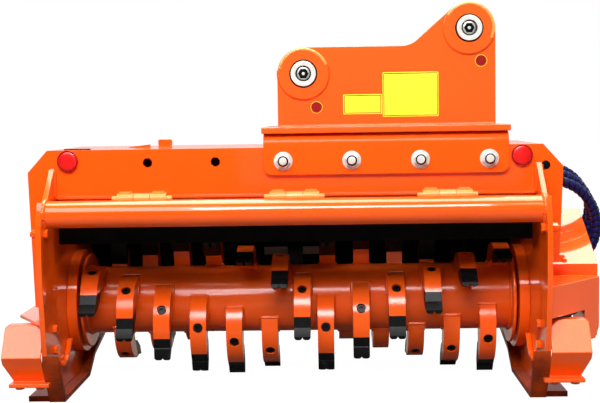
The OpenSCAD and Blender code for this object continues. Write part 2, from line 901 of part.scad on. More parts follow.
// A hose's route in [X, Z] with its heading below the X axis at each point
function hose_route(h) =
    let (mid = [side_out + fitting_l + hose_lead, h[1] - h[2]], turns = [0:hose_step:hose_turn])
    concat(
        [[mid + [-hose_lead, h[2]], 0]],
        [for (a = turns) [mid + polar(h[2], 90 - a), a]],
        [[mid + polar(h[2], 90 - hose_turn) + polar(h[3], -hose_turn), hose_turn]]
    );

// A ring of points square to the route
function hose_ring(h, stop) = [
    for (k = [0:hose_sides - 1])
        let (t = 360 * k / hose_sides, across = polar(h[4] / 2 * sin(t), 90 - stop[1]))
        [stop[0][0] + across[0], h[0] + h[4] / 2 * cos(t), stop[0][1] + across[1]]
];

// A hose from its bulkhead in an arc to the motor's port
module hose(h) {
    stops = hose_route(h);
    last = len(stops) - 1;
    n = hose_sides;
    color(hose_navy) at_origin() polyhedron(
        points = [for (stop = stops) each hose_ring(h, stop)],
        faces = concat(
            [[for (k = [0:n - 1]) k]],
            [for (i = [0:last - 1], k = [0:n - 1])
                [i * n + k, (i + 1) * n + k, (i + 1) * n + (k + 1) % n, i * n + (k + 1) % n]],
            [[for (k = [n - 1:-1:0]) last * n + k]]
        )
    );
}

module hose_pressure() hose(HOSES[0]);
module hose_return() hose(HOSES[1]);
module hose_drain() hose(HOSES[2]);

module hose_bulkheads() {
    color(zinc) at_origin()
        for (h = HOSES)
            hex_x(
                side_out, side_out + fitting_l,
                h[4] == drain_d ? drain_fitting_d : fitting_d - fitting_ease, h[0], h[1]
            );
}

module coupler_nipples() {
    color(zinc) at_origin()
        for (i = [0:coupler_count - 1]) {
            hex_y(beam_rear, beam_rear + coupler_hex_h, coupler_hex, coupler_x(i), coupler_z);
            rod_y(beam_rear, beam_rear + coupler_hex_h + coupler_l, coupler_d, coupler_x(i), coupler_z);
        }
}

module reflectors() {
    color(lens_red) at_origin()
        for (x = [-reflector_x, reflector_x])
            rod_y(panel_y - reflector_h, panel_y, reflector_d, x, reflector_z);
}

// Places children drawn in the plane of one tooth: outwards at the tip, then forwards in turn
module tooth_place(x, below) {
    translate([x, axis_y, axis_z]) rotate([180 + below, 0, 0]) rotate([90, 0, 90]) children();
}

// Calls children for every tooth of the rotor
module each_tooth() {
    for (s = SPIRALS, i = [0:tooth_count - 1])
        tooth_place(s[0] * (first_tooth_x - s[1] - i * tooth_pitch), s[2] + i * tooth_turn) children();
    tooth_place(centre_tooth[0], centre_tooth[1]) children();
}

crown_mid = polar(holder_r - crown_round, crown_angle);
holder_nose = polar(holder_r - nose_drop, nose_angle);
holder_heel = polar(tube_d / 2, heel_angle);

// Claw-shaped holder with the counterbore for its socket screw
module holder() {
    screw_at = crown_mid + polar(crown_round, screw_angle);
    seat = unit(holder_nose - holder_heel);
    beyond = 2 * holder_r;
    difference() {
        translate([0, 0, -tooth_w / 2]) linear_extrude(tooth_w) difference() {
            translate(crown_mid) circle(crown_round);
            polygon([
                holder_heel - beyond * seat, holder_nose + beyond * seat, [beyond, beyond], [-beyond, beyond]
            ]);
        }
        translate([screw_at[0], screw_at[1], 0]) rotate([0, 0, screw_angle]) rotate([0, 90, 0])
            translate([0, 0, -screw_depth]) cylinder(h = 2 * screw_depth, d = screw_d);
    }
}

// Stepped tooth with two rounded tips
module tooth() {
    intersection() {
        translate([0, 0, -tooth_w / 2]) linear_extrude(tooth_w) polygon([
            holder_nose, [tooth_back_r, -tooth_back], [tooth_back_r + tooth_ledge, 1 - tooth_back],
            [tip_r - tip_ease, -2 * tip_land], [tip_r - tip_ease, tip_land], [tooth_face_r, tooth_lead],
            [tooth_step_r, -tooth_step], [tooth_root_r, -tooth_root],
            holder_nose + (holder_heel - holder_nose) * seat_share
        ]);
        rotate([0, 90, 0]) linear_extrude(2 * tip_r) {
            translate([-tooth_w / 2, -tip_r]) square([tooth_w, tip_r - lobe_r + tooth_lead]);
            for (x = [-lobe_r, lobe_r]) translate([x, tooth_lead - lobe_r]) circle(lobe_r);
        }
    }
}

module rotor_drum() {
    color(paint) at_origin() difference() {
        union() {
            rod_x(-tube_end, tube_end, tube_d, axis_y, axis_z);
            each_tooth() holder();
        }
        rod_x(-tube_end - 1, tube_end + 1, tube_d - 2 * tube_wall, axis_y, axis_z);
    }
}

module rotor_ends() {
    color(dark_paint) at_origin()
        for (s = [-1, 1])
            mirror([s < 0 ? 1 : 0, 0, 0]) {
                rod_x(tube_end, tube_end + disc_t, disc_d, axis_y, axis_z);
                rod_x(tube_end, shaft_end, shaft_d, axis_y, axis_z);
            }
}

module rotor_teeth() color(black_steel) at_origin() each_tooth() tooth();

side_plate_left();
side_plate_right();
front_panel();
top_plate();
rear_panel();
hood_shell();
hood_liner();
counter_blade();
push_bar();
hinge_brackets();
hinge_pins();
hitch_saddle();
hitch_base();
ear_front();
ear_rear();
stick_pin();
link_pin();
hitch_bolts();
skid_left();
skid_right();
nose_left();
nose_right();
shelf_left();
side_lugs();
side_bolts();
wrap_ring_left();
wrap_ring_right();
bearing_left();
bearing_right();
motor();
motor_guard();
hose_pressure();
hose_return();
hose_drain();
hose_bulkheads();
coupler_nipples();
reflectors();
rotor_drum();
rotor_ends();
rotor_teeth();
front_flap();
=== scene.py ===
import json
import math

import bmesh
import bpy
from mathutils import Matrix, Vector


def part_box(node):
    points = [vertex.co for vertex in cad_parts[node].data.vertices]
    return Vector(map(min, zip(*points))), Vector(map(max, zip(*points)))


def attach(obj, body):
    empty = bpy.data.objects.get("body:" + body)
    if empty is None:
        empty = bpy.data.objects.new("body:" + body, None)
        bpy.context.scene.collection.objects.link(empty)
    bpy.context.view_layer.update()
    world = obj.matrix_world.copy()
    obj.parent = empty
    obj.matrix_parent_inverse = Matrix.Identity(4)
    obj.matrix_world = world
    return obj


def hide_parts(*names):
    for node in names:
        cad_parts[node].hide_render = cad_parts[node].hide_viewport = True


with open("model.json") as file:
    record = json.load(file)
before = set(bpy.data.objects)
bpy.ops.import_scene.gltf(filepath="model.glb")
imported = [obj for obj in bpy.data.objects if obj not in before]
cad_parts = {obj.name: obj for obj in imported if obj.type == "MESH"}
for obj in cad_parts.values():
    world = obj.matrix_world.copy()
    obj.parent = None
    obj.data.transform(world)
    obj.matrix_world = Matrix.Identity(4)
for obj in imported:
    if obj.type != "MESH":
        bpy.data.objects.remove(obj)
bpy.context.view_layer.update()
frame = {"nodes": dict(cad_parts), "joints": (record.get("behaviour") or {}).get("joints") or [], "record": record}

bl_info = {
    "name": "Mulching head dressing",
    "version": (1, 0, 0),
    "blender": (4, 5, 0),
    "location": "3D View > Sidebar > Mulcher",
    "description": "Paint, hoses, welds and fasteners of a forestry mulching head",
    "category": "Object",
}

CAD = frame["nodes"]
RECORD = frame["record"]
MM = 0.001

RIGHT = Vector((1, 0, 0))
BACKWARD = Vector((0, 1, 0))
UPWARD = Vector((0, 0, 1))

# Places are in mm from the chamber's middle, the front edge of the side plates and the floor
PANEL_FACE = 120
MID_X = (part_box("side_plate_left")[1][0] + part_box("side_plate_right")[0][0]) / 2
FRONT_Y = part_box("front_panel")[0][1] - PANEL_FACE * MM


def at(x, y, z):
    """The point in metres at a place in mm."""
    return Vector((MID_X + x * MM, FRONT_Y + y * MM, z * MM))


def in_mm(point):
    """The place in mm of a point in metres."""
    x, y, z = point
    return round((x - MID_X) / MM, 2), round((y - FRONT_Y) / MM, 2), round(z / MM, 2)


def corners(node):
    """Lowest and highest place of a CAD node."""
    low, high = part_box(node)
    return in_mm(low), in_mm(high)


def middle(node):
    """Place of the middle of a CAD node."""
    return tuple((low + high) / 2 for low, high in zip(*corners(node)))


def joint_place(name):
    """Place that a joint's axis goes through."""
    return in_mm(next(j for j in frame["joints"] if j["name"] == name)["pos_m"])


AXIS = joint_place("rotor_spin")[1:]
(SIDE_IN, _, _), (SIDE_OUT, _, SIDE_TOP) = corners("side_plate_right")
BEAM_TOP = corners("top_plate")[1][2]
BOSS_HEIGHT = 6
EAR_FACE = corners("ear_front")[0][1] + BOSS_HEIGHT
EAR_BACK = corners("ear_rear")[1][1] - BOSS_HEIGHT


class MulcherSizes(bpy.types.PropertyGroup):
    """Sizes that change the dressing of the head"""

    edge_round: bpy.props.FloatProperty(
        name="Edge rounding", description="Rounding of cut plate edges",
        default=2.0 * MM, min=0.0, unit="LENGTH",
    )
    weld_size: bpy.props.FloatProperty(
        name="Weld size", description="Leg length of the fillet welds",
        default=8 * MM, min=0.0, unit="LENGTH",
    )
    wrap_pitch: bpy.props.FloatProperty(
        name="Wrap pitch", description="Pitch of the spiral guard on the hoses",
        default=15 * MM, min=0.001, unit="LENGTH",
    )
    wrap_depth: bpy.props.FloatProperty(
        name="Wrap depth", description="Depth of the groove between the turns of the guard",
        default=1.3 * MM, min=0.0, unit="LENGTH",
    )


class MulcherColours(bpy.types.PropertyGroup):
    """Colours of the head"""

    paint: bpy.props.FloatVectorProperty(
        name="Paint", description="Enamel on all plates",
        default=(0.93, 0.100, 0.004), subtype="COLOR", min=0.0, max=1.0,
    )
    # Lighter, yellower paint of the hinges, the flap's knuckles and the upper boss welds: a painted highlight
    # where the top light falls
    rubbed: bpy.props.FloatVectorProperty(
        name="Rubbed paint", description="Paint rubbed pale on the hinges and the boss welds",
        default=(0.94, 0.31, 0.07), subtype="COLOR", min=0.0, max=1.0,
    )
    lens: bpy.props.FloatVectorProperty(
        name="Reflector", description="Red reflector lens",
        default=(0.95, 0.010, 0.010), subtype="COLOR", min=0.0, max=1.0,
    )
    sticker: bpy.props.FloatVectorProperty(
        name="Sticker", description="Round bare stickers beside the hitch pins",
        default=(0.26, 0.004, 0.006), subtype="COLOR", min=0.0, max=1.0,
    )
    label: bpy.props.FloatVectorProperty(
        name="Label", description="Bare yellow label plates",
        default=(0.95, 0.80, 0.02), subtype="COLOR", min=0.0, max=1.0,
    )
    hose: bpy.props.FloatVectorProperty(
        name="Hose guard", description="Plastic spiral guard on the hoses",
        default=(0.002, 0.003, 0.068), subtype="COLOR", min=0.0, max=1.0,
    )


class Value:
    """A shader socket that takes part in sums like a number."""

    def __init__(self, tree, socket):
        self.tree = tree
        self.socket = socket

    def math(self, operation, *terms, clamp=False):
        node = self.tree.nodes.new("ShaderNodeMath")
        node.operation = operation
        node.use_clamp = clamp
        for place, term in zip(node.inputs, terms):
            if isinstance(term, Value):
                self.tree.links.new(term.socket, place)
            else:
                place.default_value = term
        return Value(self.tree, node.outputs[0])

    def __add__(self, other):
        return self.math("ADD", self, other)

    def __radd__(self, other):
        return self.math("ADD", other, self)

    def __sub__(self, other):
        return self.math("SUBTRACT", self, other)

    def __rsub__(self, other):
        return self.math("SUBTRACT", other, self)

    def __mul__(self, other):
        return self.math("MULTIPLY", self, other)

    def __rmul__(self, other):
        return self.math("MULTIPLY", other, self)

    def over(self, limit):
        return self.math("GREATER_THAN", self, limit)

    def clamped(self):
        return self.math("ADD", self, 0.0, clamp=True)


class Nodes:
    """Adds nodes and links to one node tree."""

    def __init__(self, tree):
        self.tree = tree

    def node(self, kind, settings=None, inputs=None):
        """Adds a node, sets its own settings first and then its sockets."""
        made = self.tree.nodes.new(kind)
        for key, setting in (settings or {}).items():
            setattr(made, key, setting)
        for key, given in (inputs or {}).items():
            self.feed(made.inputs[key], given)
        return made

    def feed(self, socket, given):
        """Links a value or a socket, or sets a number or a colour."""
        if isinstance(given, Value):
            self.tree.links.new(given.socket, socket)
        elif isinstance(given, bpy.types.NodeSocket):
            self.tree.links.new(given, socket)
        elif isinstance(given, tuple):
            socket.default_value = (*given[:3], 1.0)
        else:
            socket.default_value = given

    def value(self, node, output):
        return Value(self.tree, node.outputs[output])

    def height(self, vector):
        """The third number of a vector socket."""
        return self.value(self.node("ShaderNodeSeparateXYZ", None, {"Vector": vector}), "Z")


class Finish(Nodes):
    """Builds the node tree of one material."""

    def __init__(self, name):
        self.material = bpy.data.materials.new(name)
        self.material.use_nodes = True
        super().__init__(self.material.node_tree)
        self.shader = self.tree.nodes["Principled BSDF"]

    def place(self):
        """Coordinates fixed to the piece, in metres."""
        return self.node("ShaderNodeTexCoord").outputs["Object"]

    def noise(self, scale, detail=3.0, roughness=0.5):
        made = self.node("ShaderNodeTexNoise", None, {
            "Vector": self.place(), "Scale": scale, "Detail": detail, "Roughness": roughness,
        })
        return self.value(made, "Fac")

    def mix(self, factor, first, second):
        """Blends two colours, each a colour or a colour socket."""
        made = self.node("ShaderNodeMix", {"data_type": "RGBA"}, {0: factor, 6: first, 7: second})
        return made.outputs[2]

    def bump(self, height, strength, distance):
        made = self.node(
            "ShaderNodeBump", None, {"Height": height, "Strength": strength, "Distance": distance},
        )
        self.set(Normal=made.outputs["Normal"])

    def set(self, **sockets):
        """Sets or links sockets of the shader, with _ for a space in their names."""
        for key, given in sockets.items():
            self.feed(self.shader.inputs[key.replace("_", " ")], given)


def shade(colour, factor):
    """A darker or lighter colour."""
    return tuple(min(1.0, c * factor) for c in colour)


def enamel(name, colour, soiled=0.0, gloss=1.0, haze=0.06):
    """Glossy sprayed enamel with faint orange peel, thin spots, dust and any soil."""
    soil, pale_dust = (0.030, 0.010, 0.006), (0.62, 0.40, 0.24)
    made = Finish(name)
    broad = made.noise(scale=3.0, detail=4.0, roughness=0.55)
    dust = made.noise(scale=38.0, detail=5.0, roughness=0.6)
    up = made.height(made.node("ShaderNodeNewGeometry").outputs["Normal"])
    settled = ((dust - 0.48) * 5.0).clamped() * (up * 1.2 - 0.3).clamped() * 0.07
    tone = made.mix(((broad - 0.35) * 2.2).clamped(), shade(colour, 0.90), shade(colour, 1.04))
    if soiled:
        patches = ((made.noise(scale=11.0, detail=6.0, roughness=0.65) - 0.32) * 3.0).clamped()
        tone = made.mix(patches * soiled, tone, soil)
    made.set(
        Base_Color=made.mix(settled, tone, pale_dust),
        Roughness=0.26 + broad * 0.10 + settled * 1.2,
        Specular_IOR_Level=0.05,
        Coat_Weight=gloss,
        Coat_Roughness=haze,
    )
    made.bump(made.noise(scale=420.0, detail=2.0), strength=0.05, distance=0.4 * MM)
    return made.material


def scaled_black(made):
    """Grain and colour of black wear steel with mill scale."""
    scale = made.noise(scale=16.0, detail=6.0, roughness=0.65)
    dark, light = (0.0012, 0.0012, 0.0014), (0.0045, 0.004, 0.0038)
    return scale, made.mix(((scale - 0.4) * 2.5).clamped(), dark, light)


def black_plate():
    """Black wear steel with mill scale and rub marks."""
    made = Finish("black_plate")
    scale, tone = scaled_black(made)
    made.set(
        Base_Color=tone,
        Roughness=0.50 + made.noise(scale=120.0, detail=3.0, roughness=0.6) * 0.25,
        Specular_IOR_Level=0.08,
    )
    made.bump(scale, strength=0.15, distance=0.6 * MM)
    return made.material


def flap_plate(colour, painted_from):
    """Black flap whose knuckles above a height take the hinges' lighter paint, a painted highlight."""
    made = Finish("flap_plate")
    scale, tone = scaled_black(made)
    ragged = made.height(made.place()) + made.noise(scale=60.0) * 6 * MM - 3 * MM
    sprayed = ragged.over(painted_from)
    made.set(
        # Above the height the knuckles take the hinges' lighter colour, a painted highlight
        Base_Color=made.mix(sprayed, tone, shade(colour, 0.95)),
        Roughness=0.60 - sprayed * 0.32 + scale * 0.08,
        Specular_IOR_Level=0.06,
        Coat_Weight=sprayed,
    )
    made.bump(scale, strength=0.12, distance=0.5 * MM)
    return made.material


def tooth_steel():
    """Black hardened steel with bright rubbed spots."""
    made = Finish("tooth_steel")
    grain = made.noise(scale=45.0, detail=5.0, roughness=0.6)
    black, rubbed = (0.003, 0.003, 0.0035), (0.022, 0.024, 0.030)
    made.set(
        Base_Color=made.mix(((grain - 0.58) * 4.0).clamped(), black, rubbed),
        Roughness=0.30 + grain * 0.22,
        Specular_IOR_Level=0.18,
    )
    made.bump(made.noise(scale=260.0, detail=3.0), strength=0.12, distance=0.4 * MM)
    return made.material


def zinc_plate(name, metal):
    """Zinc with a faint yellow cast and fine turning marks, bright or pale and blasted."""
    dull, clear = (0.58, 0.58, 0.56), (0.82, 0.82, 0.79)
    made = Finish(name)
    cloud = made.noise(scale=60.0, detail=4.0, roughness=0.55)
    made.set(
        Base_Color=made.mix(cloud, dull, clear),
        Roughness=0.24 + cloud * 0.2,
        Metallic=metal,
    )
    made.bump(made.noise(scale=900.0, detail=2.0), strength=0.06, distance=0.2 * MM)
    return made.material


def reflector_lens(colour):
    """Red lens with a field of small prisms."""
    made = Finish("reflector_lens")
    cells = made.node("ShaderNodeTexVoronoi", {"feature": "F1"}, {
        "Vector": made.place(), "Scale": 330.0, "Randomness": 0.15,
    })
    facet = made.value(cells, "Distance")
    made.set(
        Base_Color=made.mix((facet * 1.6).clamped(), shade(colour, 1.15), shade(colour, 0.62)),
        Roughness=0.30 + facet * 0.15,
        Specular_IOR_Level=0.2,
        Coat_Weight=0.4,
        Coat_Roughness=0.03,
    )
    made.bump(facet, strength=0.3, distance=0.8 * MM)
    return made.material


def label_film(colour):
    """Bare film with a slight mottling."""
    made = Finish("label_film")
    mottle = made.noise(scale=90.0, detail=4.0)
    made.set(
        Base_Color=made.mix(mottle, shade(colour, 0.94), shade(colour, 1.03)),
        Roughness=0.34 + mottle * 0.12,
    )
    made.bump(made.noise(scale=700.0, detail=2.0), strength=0.03, distance=0.2 * MM)
    return made.material


def ink(name, colour):
    """Thin printed layer, a little worn."""
    made = Finish(name)
    worn = made.noise(scale=140.0, detail=5.0, roughness=0.6)
    made.set(
        Base_Color=made.mix(((worn - 0.5) * 2.0).clamped(), colour, shade(colour, 1.35)),
        Roughness=0.32 + worn * 0.2,
        Specular_IOR_Level=0.2,
    )
    return made.material


def hose_guard(colour):
    """Hard plastic of the spiral guard, scuffed lighter in spots."""
    made = Finish("hose_guard")
    scuff = made.noise(scale=150.0, detail=5.0, roughness=0.6)
    made.set(
        Base_Color=made.mix(((scuff - 0.5) * 3.0).clamped(), colour, shade(colour, 1.8)),
        Roughness=0.36 + scuff * 0.2,
        Specular_IOR_Level=0.2,
    )
    made.bump(scuff, strength=0.06, distance=0.4 * MM)
    return made.material


def motor_casting():
    """Satin black casting."""
    deep, worn = (0.012, 0.012, 0.013), (0.035, 0.035, 0.037)
    made = Finish("motor_casting")
    sand = made.noise(scale=240.0, detail=4.0, roughness=0.6)
    made.set(
        Base_Color=made.mix(sand, deep, worn),
        Roughness=0.42 + sand * 0.2,
    )
    made.bump(sand, strength=0.25, distance=0.5 * MM)
    return made.material


FINISHES = {}


def paint_piece(obj, finish, body="frame"):
    """Gives a new piece its material and its body."""
    obj.data.materials.append(FINISHES[finish])
    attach(obj, body)
    return obj


def mesh_piece(name, bm, smooth_angle=35.0):
    """Turns a bmesh into a linked object with smooth faces and sharp edges."""
    bmesh.ops.recalc_face_normals(bm, faces=bm.faces)
    for edge in bm.edges:
        if len(edge.link_faces) == 2:
            edge.smooth = edge.calc_face_angle() < math.radians(smooth_angle)
    for face in bm.faces:
        face.smooth = True
    mesh = bpy.data.meshes.new(name)
    bm.to_mesh(mesh)
    bm.free()
    obj = bpy.data.objects.new(name, mesh)
    bpy.context.scene.collection.objects.link(obj)
    return obj


def axes_at(point, outward):
    """A frame at a point in metres whose Z axis points outward."""
    z = Vector(outward).normalized()
    up = BACKWARD if abs(z.dot(UPWARD)) > 0.95 else UPWARD
    x = up.cross(z).normalized()
    y = z.cross(x)
    return Matrix.Translation(point) @ Matrix((x, y, z)).transposed().to_4x4()


def lifted(place, height):
    """The frame moved out along its Z axis, in mm."""
    return place @ Matrix.Translation((0, 0, height * MM))


def loop(bm, place, radius, level, count):
    """Adds a circle of points round a frame's axis, sizes in mm."""
    turn = [math.tau * i / count for i in range(count)]
    return [
        bm.verts.new(place @ Vector((radius * math.cos(a) * MM, radius * math.sin(a) * MM, level * MM)))
        for a in turn
    ]


def bridge(bm, lower, upper):
    """Adds the faces between two loops, of which one may be a single point."""
    count = max(len(lower), len(upper))
    faces = []
    for i in range(count):
        j = (i + 1) % count
        points = [
            lower[i % len(lower)], lower[j % len(lower)], upper[j % len(upper)], upper[i % len(upper)],
        ]
        faces.append(bm.faces.new(list(dict.fromkeys(points))))
    return faces


def tube(bm, rings):
    """Adds a closed tube through loops of points."""
    for lower, upper in zip(rings, rings[1:]):
        bridge(bm, lower, upper)
    bm.faces.new(rings[0][::-1])
    bm.faces.new(rings[-1])


def revolve(bm, place, profile, segments=32):
    """Adds a closed turned form: profile holds (radius, height) in mm, from the axis round to the axis."""
    rings = [loop(bm, place, radius, height, segments if radius else 1) for radius, height in profile]
    for lower, upper in zip(rings, rings[1:]):
        bridge(bm, lower, upper)


def ring(bm, place, inner, outer, height, segments=40):
    """Adds a flat ring with eased edges that stands on the frame's plane, in mm."""
    ease_share = 0.3
    ease = min(height, outer - inner) * ease_share
    revolve(bm, place, [
        (inner, 0), (outer, 0), (outer, height - ease), (outer - ease, height),
        (inner + ease, height), (inner, height - ease), (inner, 0),
    ], segments)


def prism(bm, outline, offset):
    """Adds a closed prism from an outline of points and the offset in mm of its other end."""
    near = [bm.verts.new(point) for point in outline]
    far = [bm.verts.new(point + MM * Vector(offset)) for point in outline]
    tube(bm, [near, far])


def rounded(x0, x1, z0, z1, y, corner, steps=5):
    """Outline of an upright rectangle with rounded corners, at places in mm."""
    points = []
    for cx, cz, start in (
        (x1 - corner, z1 - corner, 0), (x0 + corner, z1 - corner, 90),
        (x0 + corner, z0 + corner, 180), (x1 - corner, z0 + corner, 270),
    ):
        for i in range(steps + 1):
            a = math.radians(start + 90 * i / steps)
            points.append(at(cx + corner * math.cos(a), y, cz + corner * math.sin(a)))
    return points


def hexagon(across):
    """Corner radius of a hexagon from its width across flats."""
    return across / 2 / math.cos(math.pi / 6)


def socket_screw(bm, place, diameter, height, socket):
    """Adds a cylinder head with a hexagon socket, in mm, standing on the frame's plane."""
    sides = 24
    shoulder_share, rim_share, floor_share = 0.9, 0.93, 0.4
    span = sides // 6
    half = diameter / 2
    foot = loop(bm, place, half, 0, sides)
    shoulder = loop(bm, place, half, height * shoulder_share, sides)
    rim = loop(bm, place, half * rim_share, height, sides)
    mouth = loop(bm, place, hexagon(socket), height, 6)
    floor = loop(bm, place, hexagon(socket), height * floor_share, 6)
    bm.faces.new(foot[::-1])
    bm.faces.new(floor)
    for lower, upper in ((foot, shoulder), (shoulder, rim), (mouth, floor)):
        bridge(bm, lower, upper)
    for i in range(6):
        edge = [rim[(span * i + k) % sides] for k in range(span + 1)]
        bm.faces.new((*edge, mouth[(i + 1) % 6], mouth[i]))


def hex_head(bm, place, across, height):
    """Adds a chamfered hexagon head, in mm, standing on the frame's plane."""
    chamfer_share, crown_share = 0.28, 0.76
    chamfer = chamfer_share * height
    crown = across / 2 * crown_share
    levels = [(hexagon(across), 0.0), (hexagon(across), height - chamfer), (crown, height)]
    tube(bm, [loop(bm, place, radius, level, 6) for radius, level in levels])


def bolt(bm, place, across, height, washer=0.0):
    """A hexagon head with an optional washer below it, in mm."""
    washer_share, edge_share, ease_share = 0.11, 0.7, 0.4
    crown_foot, crown_top, crown_share = 0.33, 0.30, 0.08
    thick = washer_share * across if washer else 0.0
    if washer:
        rim = washer / 2
        edge, flat = thick * edge_share, rim - thick * ease_share
        revolve(bm, place, [(0, 0), (rim, 0), (rim, edge), (flat, thick), (0, thick)])
    hex_head(bm, lifted(place, thick), across, height)
    crown = height * crown_share
    revolve(bm, lifted(place, thick + height), [
        (0, 0), (across * crown_foot, 0), (across * crown_top, crown), (0, crown),
    ])


def bead(bm, points, size, ripple=5 * MM, sides=8):
    """Adds a rippled weld bead of a leg size, in metres, along straight stretches of points."""
    slim, swell, fall, end_share = 0.62, 0.10, 1.5, 0.55
    stops = []
    for start, end in zip(points, points[1:]):
        count = max(2, round((end - start).length / (ripple / 4)))
        stops += [start.lerp(end, i / count) for i in range(count)]
    stops.append(points[-1])
    rings = []
    travelled = 0.0
    for i, stop in enumerate(stops):
        ahead = (stops[min(i + 1, len(stops) - 1)] - stops[max(i - 1, 0)]).normalized()
        upright = abs(ahead.z) > 0.95
        side = ahead.orthogonal().normalized() if upright else ahead.cross(UPWARD).normalized()
        top = side.cross(ahead)
        if i:
            travelled += (stop - stops[i - 1]).length
        phase = (travelled / ripple) % 1.0
        radius = size * (slim + swell * (1 - phase) ** fall)
        if i in (0, len(stops) - 1):
            radius *= end_share
        turn = [math.tau * k / sides for k in range(sides)]
        rings.append([bm.verts.new(stop + radius * (math.cos(a) * side + math.sin(a) * top)) for a in turn])
    tube(bm, rings)


def arc_points(centre, radius, start, end, across, up, step=10.0):
    """Points on an arc in the plane of two directions, radius in mm and angles in degrees."""
    count = max(2, round(abs(end - start) / step))
    turn = [math.radians(start + (end - start) * i / count) for i in range(count + 1)]
    return [centre + radius * MM * (math.cos(a) * across + math.sin(a) * up) for a in turn]


class MULCHER_OT_stage(bpy.types.Operator):
    """Make the floor, the soft lamps and the camera"""

    bl_idname = "mulcher.stage"
    bl_label = "Stage"

    # Floor with a curved rise to a back wall, in metres
    floor_half = 9.0
    floor_back = 4.0
    floor_rise = 2.0
    wall_top = 7.0
    # The floor looks white to the camera, and in mirrors only above a height
    floor_albedo = 0.15
    glow_strength = 1.31
    glow_share = 0.75
    mirror_from = 0.6
    mirror_slope = 4.0
    world_light = 0.03
    # Lamps: [name, place and size in metres, watts, warm or white]
    lamps = (
        ("key_lamp", (-1.2, -2.5, 2.7), (2.0, 1.9), 82.0, False),
        ("front_lamp", (0.1, -2.6, 2.45), (1.5, 0.9), 88.0, False),
        ("front_card", (0.35, -4.6, 0.8), (1.8, 1.2), 3.2, True),
        ("right_card", (1.36, -2.5, 3.07), (0.9, 0.7), 11.7, True),
        ("top_lamp", (0.25, 0.7, 3.6), (3.5, 2.8), 350.0, True),
        ("rear_fill", (0.1, 3.0, 3.3), (2.2, 2.2), 60.0, False),
        ("left_fill", (-4.2, 0.8, 1.5), (2.0, 2.0), 75.0, False),
        ("right_fill", (4.2, 0.8, 1.5), (2.0, 2.0), 75.0, False),
    )
    lamp_aim = Vector((0.0, 0.0, 0.4))
    white, warm = (1.0, 1.0, 1.0), (1.0, 0.92, 0.74)
    # Camera: image width, focal length and middle column in pixels, then its place in metres and its turns
    image_width = 600.0
    focal_pixels = 1118.0
    centre_column = 311.27
    camera_right = 0.092
    camera_back = 2.5
    camera_height = 0.66
    yaw_degrees = 1.16
    pitch_degrees = 4.434
    roll_degrees = 0.855

    def execute(self, context):
        self.make_floor()
        self.make_world(context)
        self.make_lamps()
        self.make_camera(context)
        context.scene.view_settings.view_transform = "Standard"
        return {"FINISHED"}

    def make_floor(self):
        bm = bmesh.new()
        back, rise = self.floor_back, self.floor_rise
        profile = [(-self.floor_half, 0.0), (back, 0.0)]
        turn = [math.radians(15 * i) for i in range(1, 7)]
        profile += [(back + rise * math.sin(a), rise * (1 - math.cos(a))) for a in turn]
        profile.append((back + rise, self.wall_top))
        rows = [[bm.verts.new((x, y, z)) for x in (-self.floor_half, self.floor_half)] for y, z in profile]
        for near, far in zip(rows, rows[1:]):
            bm.faces.new((near[0], near[1], far[1], far[0]))
        floor = mesh_piece("studio_floor", bm, 60.0)
        made = Finish("studio_white")
        made.set(Base_Color=(self.floor_albedo,) * 3, Roughness=0.9, Specular_IOR_Level=0.1)
        light = made.node("ShaderNodeLightPath")
        height = made.height(made.node("ShaderNodeNewGeometry").outputs["Position"])
        high = ((height - self.mirror_from) * self.mirror_slope).clamped()
        mirrored = made.value(light, "Is Glossy Ray") * high
        direct = made.value(light, "Is Camera Ray") + made.value(light, "Is Transmission Ray")
        seen = (direct + mirrored).clamped()
        glow = made.node("ShaderNodeEmission", None, {"Color": self.white, "Strength": self.glow_strength})
        blend = made.node("ShaderNodeMixShader", None, {
            0: seen * self.glow_share, 1: made.shader.outputs[0], 2: glow.outputs[0],
        })
        made.feed(made.tree.nodes["Material Output"].inputs["Surface"], blend.outputs[0])
        floor.data.materials.append(made.material)

    def make_world(self, context):
        world = bpy.data.worlds.new("studio_world")
        world.use_nodes = True
        made = Nodes(world.node_tree)
        dim = made.tree.nodes["Background"]
        bright = made.node("ShaderNodeBackground")
        for sky, strength in ((dim, self.world_light), (bright, 1.0)):
            made.feed(sky.inputs["Color"], self.white)
            made.feed(sky.inputs["Strength"], strength)
        light = made.node("ShaderNodeLightPath")
        blend = made.node("ShaderNodeMixShader", None, {
            0: light.outputs["Is Camera Ray"], 1: dim.outputs[0], 2: bright.outputs[0],
        })
        made.feed(made.tree.nodes["World Output"].inputs["Surface"], blend.outputs[0])
        context.scene.world = world

    def make_lamps(self):
        for name, place, size, power, is_warm in self.lamps:
            lamp = bpy.data.lights.new(name, "AREA")
            lamp.shape = "RECTANGLE"
            lamp.size, lamp.size_y = size
            lamp.energy = power
            lamp.color = self.warm if is_warm else self.white
            obj = bpy.data.objects.new(name, lamp)
            obj.location = place
            obj.rotation_mode = "QUATERNION"
            obj.rotation_quaternion = (self.lamp_aim - Vector(place)).to_track_quat("-Z", "Y")
            bpy.context.scene.collection.objects.link(obj)

    def make_camera(self, context):
        camera = bpy.data.cameras.new("photo_camera")
        camera.sensor_width = 36.0
        camera.lens = self.focal_pixels / self.image_width * camera.sensor_width
        camera.shift_x = 0.5 - self.centre_column / self.image_width
        obj = bpy.data.objects.new("photo_camera", camera)
        turn = (
            Matrix.Rotation(math.radians(self.yaw_degrees), 4, "Z")
            @ Matrix.Rotation(math.radians(90 - self.pitch_degrees), 4, "X")
            @ Matrix.Rotation(math.radians(-self.roll_degrees), 4, "Z")
        )
        place = Vector((MID_X + self.camera_right, FRONT_Y - self.camera_back, self.camera_height))
        obj.matrix_world = Matrix.Translation(place) @ turn
        bpy.context.scene.collection.objects.link(obj)
        context.scene.camera = obj


